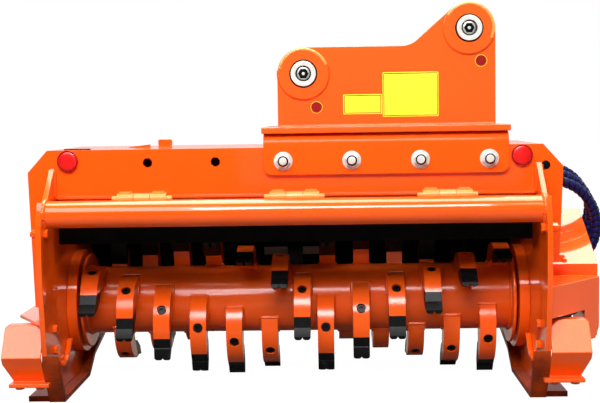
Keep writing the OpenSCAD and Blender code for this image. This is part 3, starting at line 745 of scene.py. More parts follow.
SLOT_FINISH = {
    "orange_paint": "enamel",
    "black_steel": "black",
    "tooth_steel": "tooth",
    "zinc": "zinc",
    "red_lens": "lens",
    "hose_cover": "hose",
    "motor_black": "motor",
}
# Nodes whose finish differs from that of their slot; the skids' darker paint is painted shade, the hinges' lighter
# paint a painted highlight
NODE_FINISH = {
    "front_flap": "flap", "skid_left": "soiled", "skid_right": "soiled", "hitch_saddle": "satin",
    "rotor_drum": "hazy", "rotor_ends": "hazy", "hinge_brackets": "rubbed", "hinge_pins": "rubbed",
}


class MULCHER_OT_finishes(bpy.types.Operator):
    """Make the finishes and put them on the head's own plates"""

    bl_idname = "mulcher.finishes"
    bl_label = "Finishes"

    knuckles_from = 459
    ear_rounding = 1.6
    join_gap = 0.02
    flat_degrees = 0.5
    sharp_degrees = 40

    def execute(self, context):
        colours = context.scene.mulcher_colours
        paint, rubbed = tuple(colours.paint), tuple(colours.rubbed)
        FINISHES.update(
            enamel=enamel("orange_enamel", paint),
            # Skids: the paint darkened to 55% as painted shade, with soil patches over it
            soiled=enamel("shaded_soiled_enamel", shade(paint, 0.55), soiled=0.75, gloss=0.2, haze=0.3),
            satin=enamel("satin_enamel", paint, gloss=0.15),
            hazy=enamel("rotor_enamel", paint, gloss=0.9, haze=0.20),
            black=black_plate(),
            tooth=tooth_steel(),
            zinc=zinc_plate("zinc_plate", 0.82),
            pale=zinc_plate("pale_zinc", 0.25),
            # The lighter paint of the hinges, the flap's knuckles and the upper boss welds is a painted highlight
            rubbed=enamel("rubbed_enamel", rubbed, gloss=0.6),
            lens=reflector_lens(tuple(colours.lens)),
            label=label_film(tuple(colours.label)),
            sticker=ink("sticker_red", tuple(colours.sticker)),
            ink=ink("label_ink", (0.02, 0.02, 0.02)),
            strip=ink("pale_strip", (0.60, 0.52, 0.50)),
            flap=flap_plate(rubbed, self.knuckles_from * MM),
            hose=hose_guard(tuple(colours.hose)),
            motor=motor_casting(),
        )
        slots = {s["node"]: s["material_slot"] for s in RECORD["subparts"]}
        hoses = [name for name, slot in slots.items() if slot == "hose_cover"]
        width = context.scene.mulcher_sizes.edge_round
        for name, obj in CAD.items():
            obj.data.materials.clear()
            obj.data.materials.append(FINISHES[NODE_FINISH.get(name, SLOT_FINISH[slots[name]])])
            if name not in hoses:
                self.soften(obj, width * (self.ear_rounding if name.startswith("ear_") else 1.0))
        return {"FINISHED"}

    def soften(self, obj, width):
        """Rounds the cut edges, on faces that are joined first."""
        weld = obj.modifiers.new("join_corners", "WELD")
        weld.merge_threshold = self.join_gap * MM
        flat = obj.modifiers.new("join_flats", "DECIMATE")
        flat.decimate_type = "DISSOLVE"
        flat.angle_limit = math.radians(self.flat_degrees)
        edge = obj.modifiers.new("edge_round", "BEVEL")
        edge.width = width
        edge.segments = 2
        edge.limit_method = "ANGLE"
        edge.angle_limit = math.radians(self.sharp_degrees)
        even = obj.modifiers.new("even_flats", "WEIGHTED_NORMAL")
        even.mode = "FACE_AREA"
        even.weight = 100
        for polygon in obj.data.polygons:
            polygon.use_smooth = True


# Hoses: [name, Y place, height, bend radius, straight tail, diameter], in mm
HOSES = [
    ("hose_pressure", 290, 488, 112, 40, 26),
    ("hose_return", 325, 506, 106, 72, 26),
    ("hose_drain", 355, 522, 104, 110, 18),
]
# Turn and steps of a hose's arc in degrees, and its straight lead in mm
HOSE_TURN = 135
HOSE_STEP = 15
HOSE_LEAD = 16


def hose_route(y, height, bend, tail):
    """The points of a hose in metres: straight lead, arc and straight tail."""
    start_x = corners("hose_bulkheads")[1][0]
    mid_x = start_x + HOSE_LEAD
    flat = [(start_x, height)]
    turns = [math.radians(90 - a) for a in range(0, HOSE_TURN + 1, HOSE_STEP)]
    flat += [(mid_x + bend * math.cos(a), height - bend + bend * math.sin(a)) for a in turns]
    heading = math.radians(-HOSE_TURN)
    last_x, last_z = flat[-1]
    flat.append((last_x + tail * math.cos(heading), last_z + tail * math.sin(heading)))
    return [at(x, y, z) for x, z in flat]


def smooth_route(points, step):
    """A finer route through the points, each stretch a cubic that keeps their headings."""
    fine = []
    for i in range(len(points) - 1):
        p0 = points[max(i - 1, 0)]
        p1, p2 = points[i], points[i + 1]
        p3 = points[min(i + 2, len(points) - 1)]
        reach = (p2 - p1).length
        t1 = (p2 - p0).normalized() * reach
        t2 = (p3 - p1).normalized() * reach
        count = max(2, round(reach / step))
        for k in range(count):
            t = k / count
            fine.append(
                (2 * t**3 - 3 * t**2 + 1) * p1 + (t**3 - 2 * t**2 + t) * t1
                + (-2 * t**3 + 3 * t**2) * p2 + (t**3 - t**2) * t2
            )
    fine.append(points[-1])
    return fine


def wrapped_tube(bm, route, radius, pitch, depth, sides=28):
    """A tube in metres with a helical groove, as a spiral guard leaves between its turns."""
    groove_half = 0.2
    groove_floor = 1.6
    travelled = 0.0
    rings = []
    for i, stop in enumerate(route):
        ahead = (route[min(i + 1, len(route) - 1)] - route[max(i - 1, 0)]).normalized()
        top = BACKWARD.cross(ahead).normalized()
        if i:
            travelled += (stop - route[i - 1]).length
        points = []
        for k in range(sides):
            angle = math.tau * k / sides
            phase = (travelled / pitch + k / sides) % 1.0
            groove = max(0.0, 1 - abs(phase - 0.5) / groove_half)
            r = radius - depth * min(1.0, groove_floor * groove)
            points.append(bm.verts.new(stop + r * (math.cos(angle) * BACKWARD + math.sin(angle) * top)))
        rings.append(points)
    for stop, lower, upper in zip(route, rings, rings[1:]):
        for point, face in zip(lower, bridge(bm, lower, upper)):
            face.material_index = int((point.co - stop).length < radius - 0.5 * depth)
    bm.faces.new(rings[0][::-1])
    bm.faces.new(rings[-1])


class MULCHER_OT_hoses(bpy.types.Operator):
    """Make the hoses with their spiral guards and crimped ends"""

    bl_idname = "mulcher.hoses"
    bl_label = "Hoses"

    route_step = 1.5
    # Crimped ends: length in mm and grooves, then radii as shares of the hose's radius
    sleeve_length = 24
    sleeve_grooves = 4
    sleeve_in, sleeve_low, sleeve_high = 0.9, 1.13, 1.22
    sleeve_shoulder, sleeve_mouth = 1.20, 1.08
    # Grooves: first and pitch as shares of the length, then slope and end in mm
    groove_first, groove_pitch = 0.12, 0.2
    groove_slope, groove_end = 1.2, 2.6
    shoulder_level = 0.94

    def execute(self, context):
        sizes = context.scene.mulcher_sizes
        ends = bmesh.new()
        for name, y, height, bend, tail, diameter in HOSES:
            points = hose_route(y, height, bend, tail)
            route = smooth_route(points, self.route_step * MM)
            bm = bmesh.new()
            wrapped_tube(bm, route, diameter / 2 * MM, sizes.wrap_pitch, sizes.wrap_depth)
            hose = paint_piece(mesh_piece(name + "_guarded", bm, 60.0), "hose")
            hose.data.materials.append(FINISHES["black"])
            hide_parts(name)
            length = sum((b - a).length for a, b in zip(route, route[1:]))
            self.sleeve(ends, points[0], points[1] - points[0], diameter / 2)
            self.sleeve(ends, points[-1], points[-2] - points[-1], diameter / 2)
        paint_piece(mesh_piece("hose_ferrules", ends), "zinc")
        return {"FINISHED"}

    def sleeve(self, bm, point, along, radius):
        """A crimped sleeve round the end of a hose."""
        length = self.sleeve_length
        inner, low, high = radius * self.sleeve_in, radius * self.sleeve_low, radius * self.sleeve_high
        profile = [(inner, 0), (high, 0)]
        for i in range(self.sleeve_grooves):
            level = length * (self.groove_first + self.groove_pitch * i)
            profile += [
                (high, level), (low, level + self.groove_slope), (low, level + self.groove_end),
            ]
        profile += [
            (radius * self.sleeve_shoulder, length * self.shoulder_level),
            (radius * self.sleeve_mouth, length), (inner, length), (inner, 0),
        ]
        revolve(bm, axes_at(point, along), profile, 28)


class MULCHER_OT_pins(bpy.types.Operator):
    """Make the rings and screws on the ends of the hitch pins, with dark rings and hexagons of painted shade in
    their gaps and sockets
    """

    bl_idname = "mulcher.pins"
    bl_label = "Pin ends"

    # Depth of the turned recess in a pin's end and of the boss's face before its floor, in mm
    recess = 6
    boss_face = 2
    # Turned forms: [radius, height] in mm
    rim_profile = [(18.6, 0), (29.7, 0), (29.7, 1.2), (28.9, 1.9), (19.4, 1.9), (18.6, 1.2), (18.6, 0)]
    dot_profile = [(0, 0), (4.0, 0), (3.4, 1.5), (0, 2.0)]
    # Dark rings of painted shade in the gaps round the pin, the rim and the screw: [inner and outer radius,
    # height, segments] in mm
    boss_shade_ring = (30.2, 33.2, 0.8, 56)
    rim_shade_ring = (16.8, 18.5, 0.5, 56)
    screw_shade_ring = (15.2, 16.8, 3.2)
    # Screw: [diameter, height, socket], then the level and [across, height] of a dark hexagon of painted shade on
    # the socket's floor, and the dot's level
    screw = (30, 4.2, 22)
    socket_level = 1.7
    socket_shade = (21.6, 0.6)
    dot_level = 2.2

    def execute(self, context):
        pale, bright, dark = bmesh.new(), bmesh.new(), bmesh.new()
        for pin in ("stick_pin", "link_pin"):
            (_, front, _), (_, back, _) = corners(pin)
            x, _, z = middle(pin)
            for y, way in ((front + self.recess, -1), (back - self.recess, 1)):
                floor = axes_at(at(x, y, z), way * BACKWARD)
                face = lifted(floor, self.recess)
                ring(dark, lifted(floor, self.boss_face), *self.boss_shade_ring)
                revolve(pale, face, self.rim_profile, 56)
                ring(dark, face, *self.rim_shade_ring)
                ring(dark, floor, *self.screw_shade_ring)
                socket_screw(bright, floor, *self.screw)
                hex_head(dark, lifted(floor, self.socket_level), *self.socket_shade)
                revolve(pale, lifted(floor, self.dot_level), self.dot_profile, 16)
        paint_piece(mesh_piece("pin_end_rings", pale), "pale")
        paint_piece(mesh_piece("pin_end_screws", bright), "zinc")
        # Dark rings and hexagons of painted shade in the gaps and sockets
        paint_piece(mesh_piece("pin_end_painted_shade", dark), "black")
        return {"FINISHED"}


class MULCHER_OT_hitch_bolts(bpy.types.Operator):
    """Make the bolts of the hitch with washers, stud ends and nuts, and a dark ring of painted shade round each
    stud end
    """

    bl_idname = "mulcher.hitch_bolts"
    bl_label = "Hitch bolts"

    # Sizes in mm, and a turn in radians for each mm along the row, so that no two heads stand alike
    count = 4
    across = 30
    head = 13
    washer = 44
    shank_half = 10
    shank_in = 44
    shank_length = 46
    nut_in = 40
    nut = 16
    stud_level = 16
    stud_profile = [(0, 0), (9, 0), (9, 3), (7.6, 4.2), (0, 4.4)]
    # Dark ring of painted shade round the stud end: [inner and outer radius, height] in mm
    stud_shade_ring = (9.2, 12.4, 1.5)
    turn_each = 0.3

    def execute(self, context):
        bm, shade_rings = bmesh.new(), bmesh.new()
        (left, _, _), (right, _, _) = corners("hitch_bolts")
        (_, front, _), (_, back, _) = corners("hitch_saddle")
        height = middle("hitch_bolts")[2]
        first = left + self.washer / 2
        pitch = (right - left - self.washer) / (self.count - 1)
        for x in (first + pitch * i for i in range(self.count)):
            for y, way in ((front, -1), (back, 1)):
                place = axes_at(at(x, y, height), way * BACKWARD)
                turned = place @ Matrix.Rotation(self.turn_each * x, 4, "Z")
                bolt(bm, turned, self.across, self.head, self.washer)
                top = lifted(place, self.stud_level)
                ring(shade_rings, top, *self.stud_shade_ring)
                revolve(bm, top, self.stud_profile)
                thick, length = self.shank_half, self.shank_length
                revolve(bm, lifted(place, -self.shank_in), [(0, 0), (thick, 0), (thick, length), (0, length)])
                hex_head(bm, lifted(place, -self.nut_in), self.across, self.nut)
        paint_piece(mesh_piece("hitch_bolt_painted_shade", shade_rings), "black")
        made = paint_piece(mesh_piece("hitch_bolt_set", bm, 18.0), "pale")
        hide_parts("hitch_bolts")
        return {"FINISHED"}


class MULCHER_OT_labels(bpy.types.Operator):
    """Make the bare labels and stickers on the front ear"""

    bl_idname = "mulcher.labels"
    bl_label = "Bare labels"

    # Labels [X0, X1, Z0, Z1] and stickers [X, Z], in mm
    labels = [(210.6, 342.4, 652.6, 757.5), (117.2, 208.9, 659.8, 706.7)]
    stickers = [(54, 677.5), (443, 781.5)]
    film = 0.7
    film_corner = 2.5
    border_in = 2.2
    border_wide = 1.5
    border_level = 0.95
    sticker_profile = [(0, 0), (13.1, 0), (13.1, 0.7), (0, 0.7)]
    sticker_rim = (13.0, 14.2, 0.6)

    def execute(self, context):
        film, lines, discs = bmesh.new(), bmesh.new(), bmesh.new()
        for label in self.labels:
            prism(film, rounded(*label, EAR_FACE, self.film_corner), (0, -self.film, 0))
            outer = self.border(lines, label, self.border_in, 2)
            inner = self.border(lines, label, self.border_in + self.border_wide, 1)
            bridge(lines, outer, inner)
        for x, z in self.stickers:
            place = axes_at(at(x, EAR_FACE, z), -BACKWARD)
            ring(film, place, *self.sticker_rim)
            revolve(discs, place, self.sticker_profile)
        paint_piece(mesh_piece("bare_labels", film), "label")
        paint_piece(mesh_piece("label_borders", lines), "ink")
        paint_piece(mesh_piece("round_stickers", discs), "sticker")
        return {"FINISHED"}

    def border(self, bm, label, inset, corner):
        """A loop of points inside a label's edge."""
        x0, x1, z0, z1 = label
        level = EAR_FACE - self.border_level
        outline = rounded(x0 + inset, x1 - inset, z0 + inset, z1 - inset, level, corner)
        return [bm.verts.new(point) for point in outline]


class MULCHER_OT_welds(bpy.types.Operator):
    """Lay the painted weld beads of the frame"""

    bl_idname = "mulcher.welds"
    bl_label = "Welds"

    # Shares of the weld size
    thin, light, heavy = 0.8, 0.9, 1.1
    # Wing seams: inside from above the push bar, outside from the panel's foot or the motor guard
    wing_in_low = 474
    wing_out_low = {-1: 216, 1: 323}
    wing_top = 538
    # Hood: tacks on a radius round the rotor, in degrees
    hood_seam = 206
    hood_tacks = range(-5, 120, 25)
    hood_tack = 9
    # Noses and skids on the outside of the plates
    nose_back = 57
    nose_tacks = (62, 100, 140)
    nose_tack = 22
    skid_low = 15
    skid_tacks = (150, 235, 320, 405)
    skid_tack = 45
    skid_bend = 320
    skid_rise = 10
    # Beam: tacks along the rear panel
    beam_tacks = range(-540, 541, 120)
    beam_tack_half = 26
    beam_low = 379
    # Shelf on the left, ledge and slant of the motor guard on the right
    outer_seams = [
        ((-SIDE_OUT, -2, 187), (-SIDE_OUT, 96, 187)),
        ((SIDE_OUT, 0, 268), (SIDE_OUT, 200, 268)),
        ((SIDE_OUT, 180, 303), (SIDE_OUT, 365, 408)),
    ]
    # Bosses: heavy upper welds in the lighter paint, a painted highlight where the top light falls, [pin, from,
    # to] in degrees, how far they stand out, and radii
    boss_arcs = [("stick_pin", 20, 170), ("link_pin", -25, 150)]
    boss_proud = 4
    boss_upper = 57
    boss_lower = 59.5
    boss_share = 0.75
    ear_inset = 2

    def execute(self, context):
        size = context.scene.mulcher_sizes.weld_size
        frame_bm, hitch_bm, boss_bm = bmesh.new(), bmesh.new(), bmesh.new()
        for way in (-1, 1):
            self.side_welds(frame_bm, way, size)
        self.beam_welds(frame_bm, size)
        self.ear_welds(hitch_bm, size)
        self.boss_welds(boss_bm, hitch_bm, size * self.boss_share)
        paint_piece(mesh_piece("frame_welds", frame_bm, 50.0), "enamel")
        paint_piece(mesh_piece("hitch_welds", hitch_bm, 50.0), "enamel")
        # Upper boss welds in the lighter paint: a painted highlight
        paint_piece(mesh_piece("boss_welds", boss_bm, 50.0), "rubbed")
        return {"FINISHED"}

    def side_welds(self, bm, way, size):
        inner, outer = way * SIDE_IN, way * SIDE_OUT
        for x, low in ((inner, self.wing_in_low), (outer, self.wing_out_low[way])):
            bead(bm, [at(x, PANEL_FACE, low), at(x, PANEL_FACE, self.wing_top)], size)
        (_, _, bar_low), (_, _, bar_high) = corners("push_bar")
        centre = at(inner, *middle("push_bar")[1:])
        bar = arc_points(centre, (bar_high - bar_low) / 2, 0, 360, BACKWARD, UPWARD, 15)
        bead(bm, bar, size * self.heavy)
        for start in self.hood_tacks:
            end = start + self.hood_tack
            tack = arc_points(at(inner, *AXIS), self.hood_seam, start, end, BACKWARD, UPWARD, 3)
            bead(bm, tack, size * self.thin)
        for level in self.nose_tacks:
            tack = [at(outer, self.nose_back, z) for z in (level, level + self.nose_tack)]
            bead(bm, tack, size * self.thin)
        for start in self.skid_tacks:
            rise = 0 if start < self.skid_bend else self.skid_rise
            low = self.skid_low + rise
            tack = [at(outer, start, low), at(outer, start + self.skid_tack, low + rise)]
            bead(bm, tack, size * self.light)

    def beam_welds(self, bm, size):
        rear = corners("rear_panel")[1][1]
        half = self.beam_tack_half
        for x in self.beam_tacks:
            for z, share in ((SIDE_TOP, self.thin), (self.beam_low, self.light)):
                bead(bm, [at(x - half, rear, z), at(x + half, rear, z)], size * share)
        for start, end in self.outer_seams:
            bead(bm, [at(*start), at(*end)], size * self.thin)

    def ear_welds(self, bm, size):
        (left, _, foot), (right, front_in, _) = corners("ear_front")
        rear_in = corners("ear_rear")[0][1]
        for y in (EAR_FACE, front_in, rear_in, EAR_BACK):
            bead(bm, [at(left + self.ear_inset, y, foot), at(right - self.ear_inset, y, foot)], size)

    def boss_welds(self, rubbed, plain, size):
        for pin, start, end in self.boss_arcs:
            x, _, z = middle(pin)
            for y, way in ((EAR_FACE, -1), (EAR_BACK, 1)):
                proud = at(x, y + way * self.boss_proud, z)
                # Upper arc in the lighter paint, a painted highlight; lower arc in the plain paint
                bead(rubbed, arc_points(proud, self.boss_upper, start, end, RIGHT, UPWARD, 8), size)
                foot = at(x, y, z)
                bead(plain, arc_points(foot, self.boss_lower, end, start + 360, RIGHT, UPWARD, 8), size)


class MULCHER_OT_fasteners(bpy.types.Operator):
    """Make the bolts of the bearings, the motor, the liner and the counter blade"""

    bl_idname = "mulcher.fasteners"
    bl_label = "Fasteners"

    # Bolt circles [radius in mm, count, first angle in degrees]
    bearing_circle = (75, 8, 0)
    carrier_circle = (83.5, 8, 20)
    flange_circle = (71, 8, 0)
    cover_circle = (43, 6, 30)
    motor_flange = 18
    # Bolts [across flats, height, washer], screws [diameter, height, socket] and the cover's ring
    bearing_bolt = (19, 9, 28)
    carrier_bolt = (10, 6)
    flange_screw = (10, 7, 5)
    cover_screw = (13, 9, 7)
    cover_ring = (12, 30, 3)
    liner_nut = (19, 10, 30)
    blade_bolt = (19, 8)
    # Liner nuts and blade bolts, at angles round the rotor's axis
    nut_row = range(-480, 481, 160)
    nut_angles = [6, 36]
    hood_radius = 222
    blade_angle = -10
    blade_radius = 214
    blade_under = 16

    def execute(self, context):
        zinc, black = bmesh.new(), bmesh.new()
        self.bearing_bolts(zinc)
        self.motor_screws(black)
        self.hood_nuts(zinc)
        paint_piece(mesh_piece("outer_bolts", zinc), "zinc")
        paint_piece(mesh_piece("motor_screws", black), "black")
        return {"FINISHED"}

    def circle(self, x, way, radius, count, start):
        """Frames on a circle round the rotor's axis that face left or right."""
        for i in range(count):
            a = math.radians(start) + math.tau * i / count
            point = at(x, AXIS[0] + radius * math.cos(a), AXIS[1] + radius * math.sin(a))
            yield axes_at(point, way * RIGHT)

    def bearing_bolts(self, bm):
        face = corners("bearing_right")[1][0]
        for place in self.circle(-face, -1, *self.bearing_circle):
            bolt(bm, place, *self.bearing_bolt)
        for place in self.circle(face, 1, *self.carrier_circle):
            bolt(bm, place, *self.carrier_bolt)

    def motor_screws(self, bm):
        (face, _, _), (end, _, _) = corners("motor")
        for place in self.circle(face + self.motor_flange, 1, *self.flange_circle):
            socket_screw(bm, place, *self.flange_screw)
        for place in self.circle(end, 1, *self.cover_circle):
            socket_screw(bm, place, *self.cover_screw)
        ring(bm, axes_at(at(end, *AXIS), RIGHT), *self.cover_ring)

    def hood_nuts(self, bm):
        for x in self.nut_row:
            axis = at(x, *AXIS)
            for degrees in self.nut_angles:
                a = math.radians(degrees)
                out = Vector((0, math.cos(a), math.sin(a)))
                bolt(bm, axes_at(axis + self.hood_radius * MM * out, out), *self.liner_nut)
            a = math.radians(self.blade_angle)
            along, down = Vector((0, math.cos(a), math.sin(a))), Vector((0, math.sin(a), -math.cos(a)))
            under = axis + self.blade_radius * MM * along + self.blade_under * MM * down
            bolt(bm, axes_at(under, down), *self.blade_bolt)


class MULCHER_OT_rotor(bpy.types.Operator):
    """Make the socket screws and weld collars of the tooth holders"""

    bl_idname = "mulcher.rotor"
    bl_label = "Rotor"

    # Spirals of teeth: [side, how far in from first_tooth it starts, angle of that tip below the front]
    spirals = [
        (-1, 1.5, 2.5), (-1, 61, 123), (-1, 32, -117), (1, 5, -37), (1, 39, 81.5), (1, 0, -155),
    ]
    centre_tooth = (12, 23)
    first_tooth = 506
    tooth_pitch = 86.5
    tooth_turn = 20
    tooth_count = 6
    tooth_half = 20
    tube_radius = 84
    # Screw in a holder: place of the bore's mouth outwards and ahead of the axis, its angle and depth,
    # then [diameter, height, socket] of the head
    screw_at = (106.5, -91.2)
    screw_angle = -69
    screw_depth = 12
    screw = (20, 9.5, 10)
    # Weld collar: where a holder meets the tube, in degrees from its tip, and the share of a tube-end seam
    collar_from, collar_to = -34, -76
    collar_ripple = 6 * MM
    seam_share = 0.9

    def execute(self, context):
        size = context.scene.mulcher_sizes.weld_size
        screws, collars = bmesh.new(), bmesh.new()
        a = math.radians(self.screw_angle)
        out = Vector((math.cos(a), math.sin(a), 0))
        floor = MM * (Vector((*self.screw_at, 0)) - self.screw_depth * out)
        for place in self.tooth_places():
            socket_screw(screws, place @ axes_at(floor, out), *self.screw)
            self.collar(collars, place, size)
        for end in (corner[0] for corner in corners("rotor_drum")):
            seam = arc_points(at(end, *AXIS), self.tube_radius, 0, 360, BACKWARD, UPWARD, 6)
            bead(collars, seam, size * self.seam_share)
        paint_piece(mesh_piece("holder_screws", screws), "tooth", "rotor")
        paint_piece(mesh_piece("holder_welds", collars, 50.0), "hazy", "rotor")
        return {"FINISHED"}

    def tooth_places(self):
        """A frame for every tooth: outwards at the tip, forwards in turn, along the rotor."""
        spots = [self.centre_tooth]
        for side, offset, angle in self.spirals:
            spots += [
                (side * (self.first_tooth - offset - i * self.tooth_pitch), angle + self.tooth_turn * i)
                for i in range(self.tooth_count)
            ]
        for x, below in spots:
            b = math.radians(below)
            out = Vector((0, -math.cos(b), -math.sin(b)))
            ahead = Vector((0, math.sin(b), -math.cos(b)))
            turn = Matrix((out, ahead, RIGHT)).transposed().to_4x4()
            yield Matrix.Translation(at(x, *AXIS)) @ turn

    def collar(self, bm, place, size):
        """A bead on the tube round three sides of a holder."""
        side = Vector((0, 0, self.tooth_half * MM))
        near = arc_points(side, self.tube_radius, self.collar_from, self.collar_to, RIGHT, BACKWARD, 8)
        far = [Vector((p.x, p.y, -p.z)) for p in reversed(near)]
        bead(bm, [place @ p for p in (*near, *far)], size, self.collar_ripple, 6)


class MULCHER_OT_lenses(bpy.types.Operator):
    """Make the domes and rims of the reflectors"""

    bl_idname = "mulcher.lenses"
    bl_label = "Reflectors"

    half = 24
    dome_profile = [(0, 0), (22, 0), (21, 1.0), (16, 2.0), (8, 2.6), (0, 2.8)]
    rim = (21.6, 24.4, 1.6, 48)

    def execute(self, context):
        domes, rims = bmesh.new(), bmesh.new()
        (left, face, _), (right, _, _) = corners("reflectors")
        height = middle("reflectors")[2]
        for x in (left + self.half, right - self.half):
            place = axes_at(at(x, face, height), -BACKWARD)
            revolve(domes, place, self.dome_profile, 48)
            ring(rims, place, *self.rim)
        paint_piece(mesh_piece("lens_domes", domes, 60.0), "lens")
        paint_piece(mesh_piece("lens_rims", rims), "sticker")
        return {"FINISHED"}


class MULCHER_OT_clips(bpy.types.Operator):
    """Make the clips, the hinge leaves, the lip behind the flap, a dark disc on the right wing and a dark sliver
    of painted shadow on the beam's top
    """

    bl_idname = "mulcher.clips"
    bl_label = "Clips and hinge leaves"

    # Clips [X0, X1, Z0, Z1, Y], their corner and depth, and a pin beside the first
    clips = [(603, 633, 306, 322, 132), (-367, -332, BEAM_TOP, BEAM_TOP + 16, 446)]
    clip_corner = 3
    clip_deep = 14
    clip_pin = (631, 120, 311)
    clip_pin_profile = [(0, 0), (6, 0), (6, 6), (4, 9), (0, 9)]
    # Wedge and slot on the beam's top, the slot a dark sliver of painted shadow: [X0, X1, Y], with heights above
    # it and depths
    wedge = (-420, -367, 306)
    wedge_low, wedge_high, wedge_deep = 1, 7, 12
    slot = (-551, -488, 168)
    slot_high, slot_deep = 2, 8
    # Hinge leaves on the outer knuckles, in the hinges' lighter paint as a painted highlight, and the lip that
    # closes the gap above the flap
    hinges = (-357, 0, 357)
    leaf_out = 39
    leaf_low, leaf_high = (15, 480), (13, 487)
    leaf_front, leaf_deep = 96, 23
    lip_half = SIDE_IN - 2
    lip_front, lip_deep = 134, 3
    lip_low, lip_high = 462, 471
    # Dark disc on the right wing
    wing_dark_disc = (588, PANEL_FACE, 536)
    wing_dark_disc_profile = [(0, 0), (10, 0), (10, 2), (8.5, 3), (0, 3)]

    def execute(self, context):
        plates, leaves, dark = bmesh.new(), bmesh.new(), bmesh.new()
        revolve(dark, axes_at(at(*self.wing_dark_disc), -BACKWARD), self.wing_dark_disc_profile)
        for clip in self.clips:
            prism(plates, rounded(*clip, self.clip_corner), (0, -self.clip_deep, 0))
        revolve(plates, axes_at(at(*self.clip_pin), -BACKWARD), self.clip_pin_profile, 20)
        x0, x1, y = self.wedge
        rises = [(x0, 0), (x1, 0), (x1, self.wedge_high), (x0, self.wedge_low)]
        prism(plates, [at(x, y, BEAM_TOP + rise) for x, rise in rises], (0, -self.wedge_deep, 0))
        # The slot is a dark sliver standing on the beam: painted shadow
        x0, x1, y = self.slot
        rises = [(x0, 0), (x1, 0), (x1, self.slot_high), (x0, self.slot_high)]
        prism(dark, [at(x, y, BEAM_TOP + rise) for x, rise in rises], (0, -self.slot_deep, 0))
        for hinge in self.hinges:
            for side in (-1, 1):
                self.leaf(leaves, hinge + side * self.leaf_out)
        half, low, high = self.lip_half, self.lip_low, self.lip_high
        lip = [(-half, low), (half, low), (half, high), (-half, high)]
        prism(plates, [at(x, self.lip_front, z) for x, z in lip], (0, self.lip_deep, 0))
        paint_piece(mesh_piece("beam_clips", plates), "enamel")
        # Hinge leaves in the lighter paint: a painted highlight
        paint_piece(mesh_piece("hinge_leaves", leaves), "rubbed")
        paint_piece(mesh_piece("beam_dark_disc_and_painted_shadow", dark), "black")
        return {"FINISHED"}

    def leaf(self, bm, x):
        """A leaf on top of a knuckle, narrower at its top."""
        (foot, low), (top, high) = self.leaf_low, self.leaf_high
        outline = [(x - foot, low), (x + foot, low), (x + top, high), (x - top, high)]
        prism(bm, [at(px, self.leaf_front, z) for px, z in outline], (0, self.leaf_deep, 0))


class MULCHER_OT_couplers(bpy.types.Operator):
    """Make the collars of the couplers at the rear"""

    bl_idname = "mulcher.couplers"
    bl_label = "Couplers"

    # Collars: levels, then [inner and outer radius, height], in mm
    collar_levels = (6, 16, 26, 36)
    collar = (14.8, 16.5, 5)

    def execute(self, context):
        bm = bmesh.new()
        for mount in RECORD["mounts"]:
            if not mount["name"].endswith("_coupler"):
                continue
            x, y, z = in_mm(mount["pos_m"])
            place = axes_at(at(x, y - mount["dims"]["length_mm"] / 2, z), BACKWARD)
            for level in self.collar_levels:
                ring(bm, lifted(place, level), *self.collar)
        paint_piece(mesh_piece("coupler_collars", bm), "zinc")
        return {"FINISHED"}


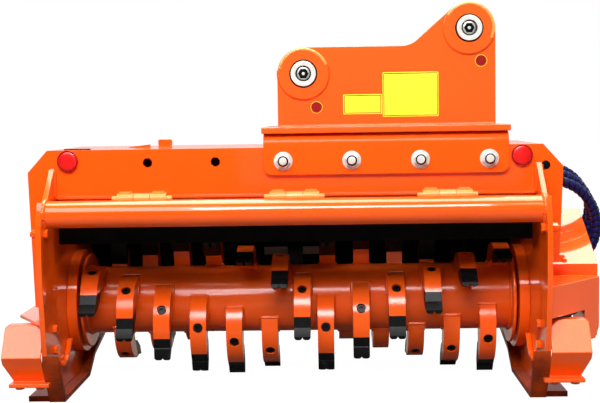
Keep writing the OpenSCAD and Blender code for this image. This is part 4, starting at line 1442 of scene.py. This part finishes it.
class MULCHER_OT_plates(bpy.types.Operator):
    """Make the bare strip on the liner, the bare data plate and the grease nipple"""

    bl_idname = "mulcher.plates"
    bl_label = "Bare plates"

    # Strip: ends along the rotor, and an arc round its axis with a radius in mm and angles in degrees
    strip_ends = (-98, 67)
    strip_radius = 205.6
    strip_from, strip_step, strip_stops = 25.2, 1.2, 7
    # Data plate on the left side plate: [Y0, Y1], [Z0, Z1] and its rivets
    plate_y, plate_z = (205, 295), (395, 455)
    plate_thick = 1.2
    rivet_inset = 6
    rivet_profile = [(0, 0), (3, 0), (2.4, 1.2), (0, 1.6)]
    # Grease nipple: hexagon and turned head
    nipple_across, nipple_foot = 11, 5
    nipple_profile = [(0, 0), (3, 0), (2, 4), (3.2, 6), (2, 9), (0, 9)]

    def execute(self, context):
        paint_piece(mesh_piece("liner_strip", self.make_strip()), "strip")
        metal = bmesh.new()
        (y0, y1), (z0, z1) = self.plate_y, self.plate_z
        outline = [(y0, z0), (y1, z0), (y1, z1), (y0, z1)]
        prism(metal, [at(-SIDE_OUT, y, z) for y, z in outline], (-self.plate_thick, 0, 0))
        inset = self.rivet_inset
        for y in (y0 + inset, y1 - inset):
            for z in (z0 + inset, z1 - inset):
                face = at(-SIDE_OUT - self.plate_thick, y, z)
                revolve(metal, axes_at(face, -RIGHT), self.rivet_profile, 16)
        nipple = axes_at(at(corners("bearing_left")[0][0], *AXIS), -RIGHT)
        hex_head(metal, nipple, self.nipple_across, self.nipple_foot)
        revolve(metal, lifted(nipple, self.nipple_foot), self.nipple_profile, 16)
        paint_piece(mesh_piece("data_plate", metal), "zinc")
        return {"FINISHED"}

    def make_strip(self):
        bm = bmesh.new()
        rows = []
        for i in range(self.strip_stops):
            a = math.radians(self.strip_from + self.strip_step * i)
            y, z = AXIS[0] + self.strip_radius * math.cos(a), AXIS[1] + self.strip_radius * math.sin(a)
            rows.append([bm.verts.new(at(x, y, z)) for x in self.strip_ends])
        for lower, upper in zip(rows, rows[1:]):
            bm.faces.new((lower[0], lower[1], upper[1], upper[0]))
        return bm


class MULCHER_PT_panel(bpy.types.Panel):
    """Sizes, colours and makers of the head's dressing"""

    bl_idname = "MULCHER_PT_panel"
    bl_label = "Mulching head"
    bl_space_type = "VIEW_3D"
    bl_region_type = "UI"
    bl_category = "Mulcher"

    def draw(self, context):
        for group in (context.scene.mulcher_sizes, context.scene.mulcher_colours):
            for name in group.__annotations__:
                self.layout.prop(group, name)
        for operator in OPERATORS:
            self.layout.operator(operator.bl_idname)


OPERATORS = (
    MULCHER_OT_stage,
    MULCHER_OT_finishes,
    MULCHER_OT_hoses,
    MULCHER_OT_pins,
    MULCHER_OT_hitch_bolts,
    MULCHER_OT_labels,
    MULCHER_OT_welds,
    MULCHER_OT_fasteners,
    MULCHER_OT_rotor,
    MULCHER_OT_lenses,
    MULCHER_OT_clips,
    MULCHER_OT_couplers,
    MULCHER_OT_plates,
)
CLASSES = (MulcherSizes, MulcherColours, *OPERATORS, MULCHER_PT_panel)


def register():
    for cls in CLASSES:
        bpy.utils.register_class(cls)
    bpy.types.Scene.mulcher_sizes = bpy.props.PointerProperty(type=MulcherSizes)
    bpy.types.Scene.mulcher_colours = bpy.props.PointerProperty(type=MulcherColours)


def unregister():
    del bpy.types.Scene.mulcher_colours
    del bpy.types.Scene.mulcher_sizes
    for cls in reversed(CLASSES):
        bpy.utils.unregister_class(cls)


def main():
    register()
    bpy.ops.mulcher.stage()
    bpy.ops.mulcher.finishes()
    bpy.ops.mulcher.hoses()
    bpy.ops.mulcher.pins()
    bpy.ops.mulcher.hitch_bolts()
    bpy.ops.mulcher.labels()
    bpy.ops.mulcher.welds()
    bpy.ops.mulcher.fasteners()
    bpy.ops.mulcher.rotor()
    bpy.ops.mulcher.lenses()
    bpy.ops.mulcher.clips()
    bpy.ops.mulcher.couplers()
    bpy.ops.mulcher.plates()


if __name__ == "__main__":
    main()
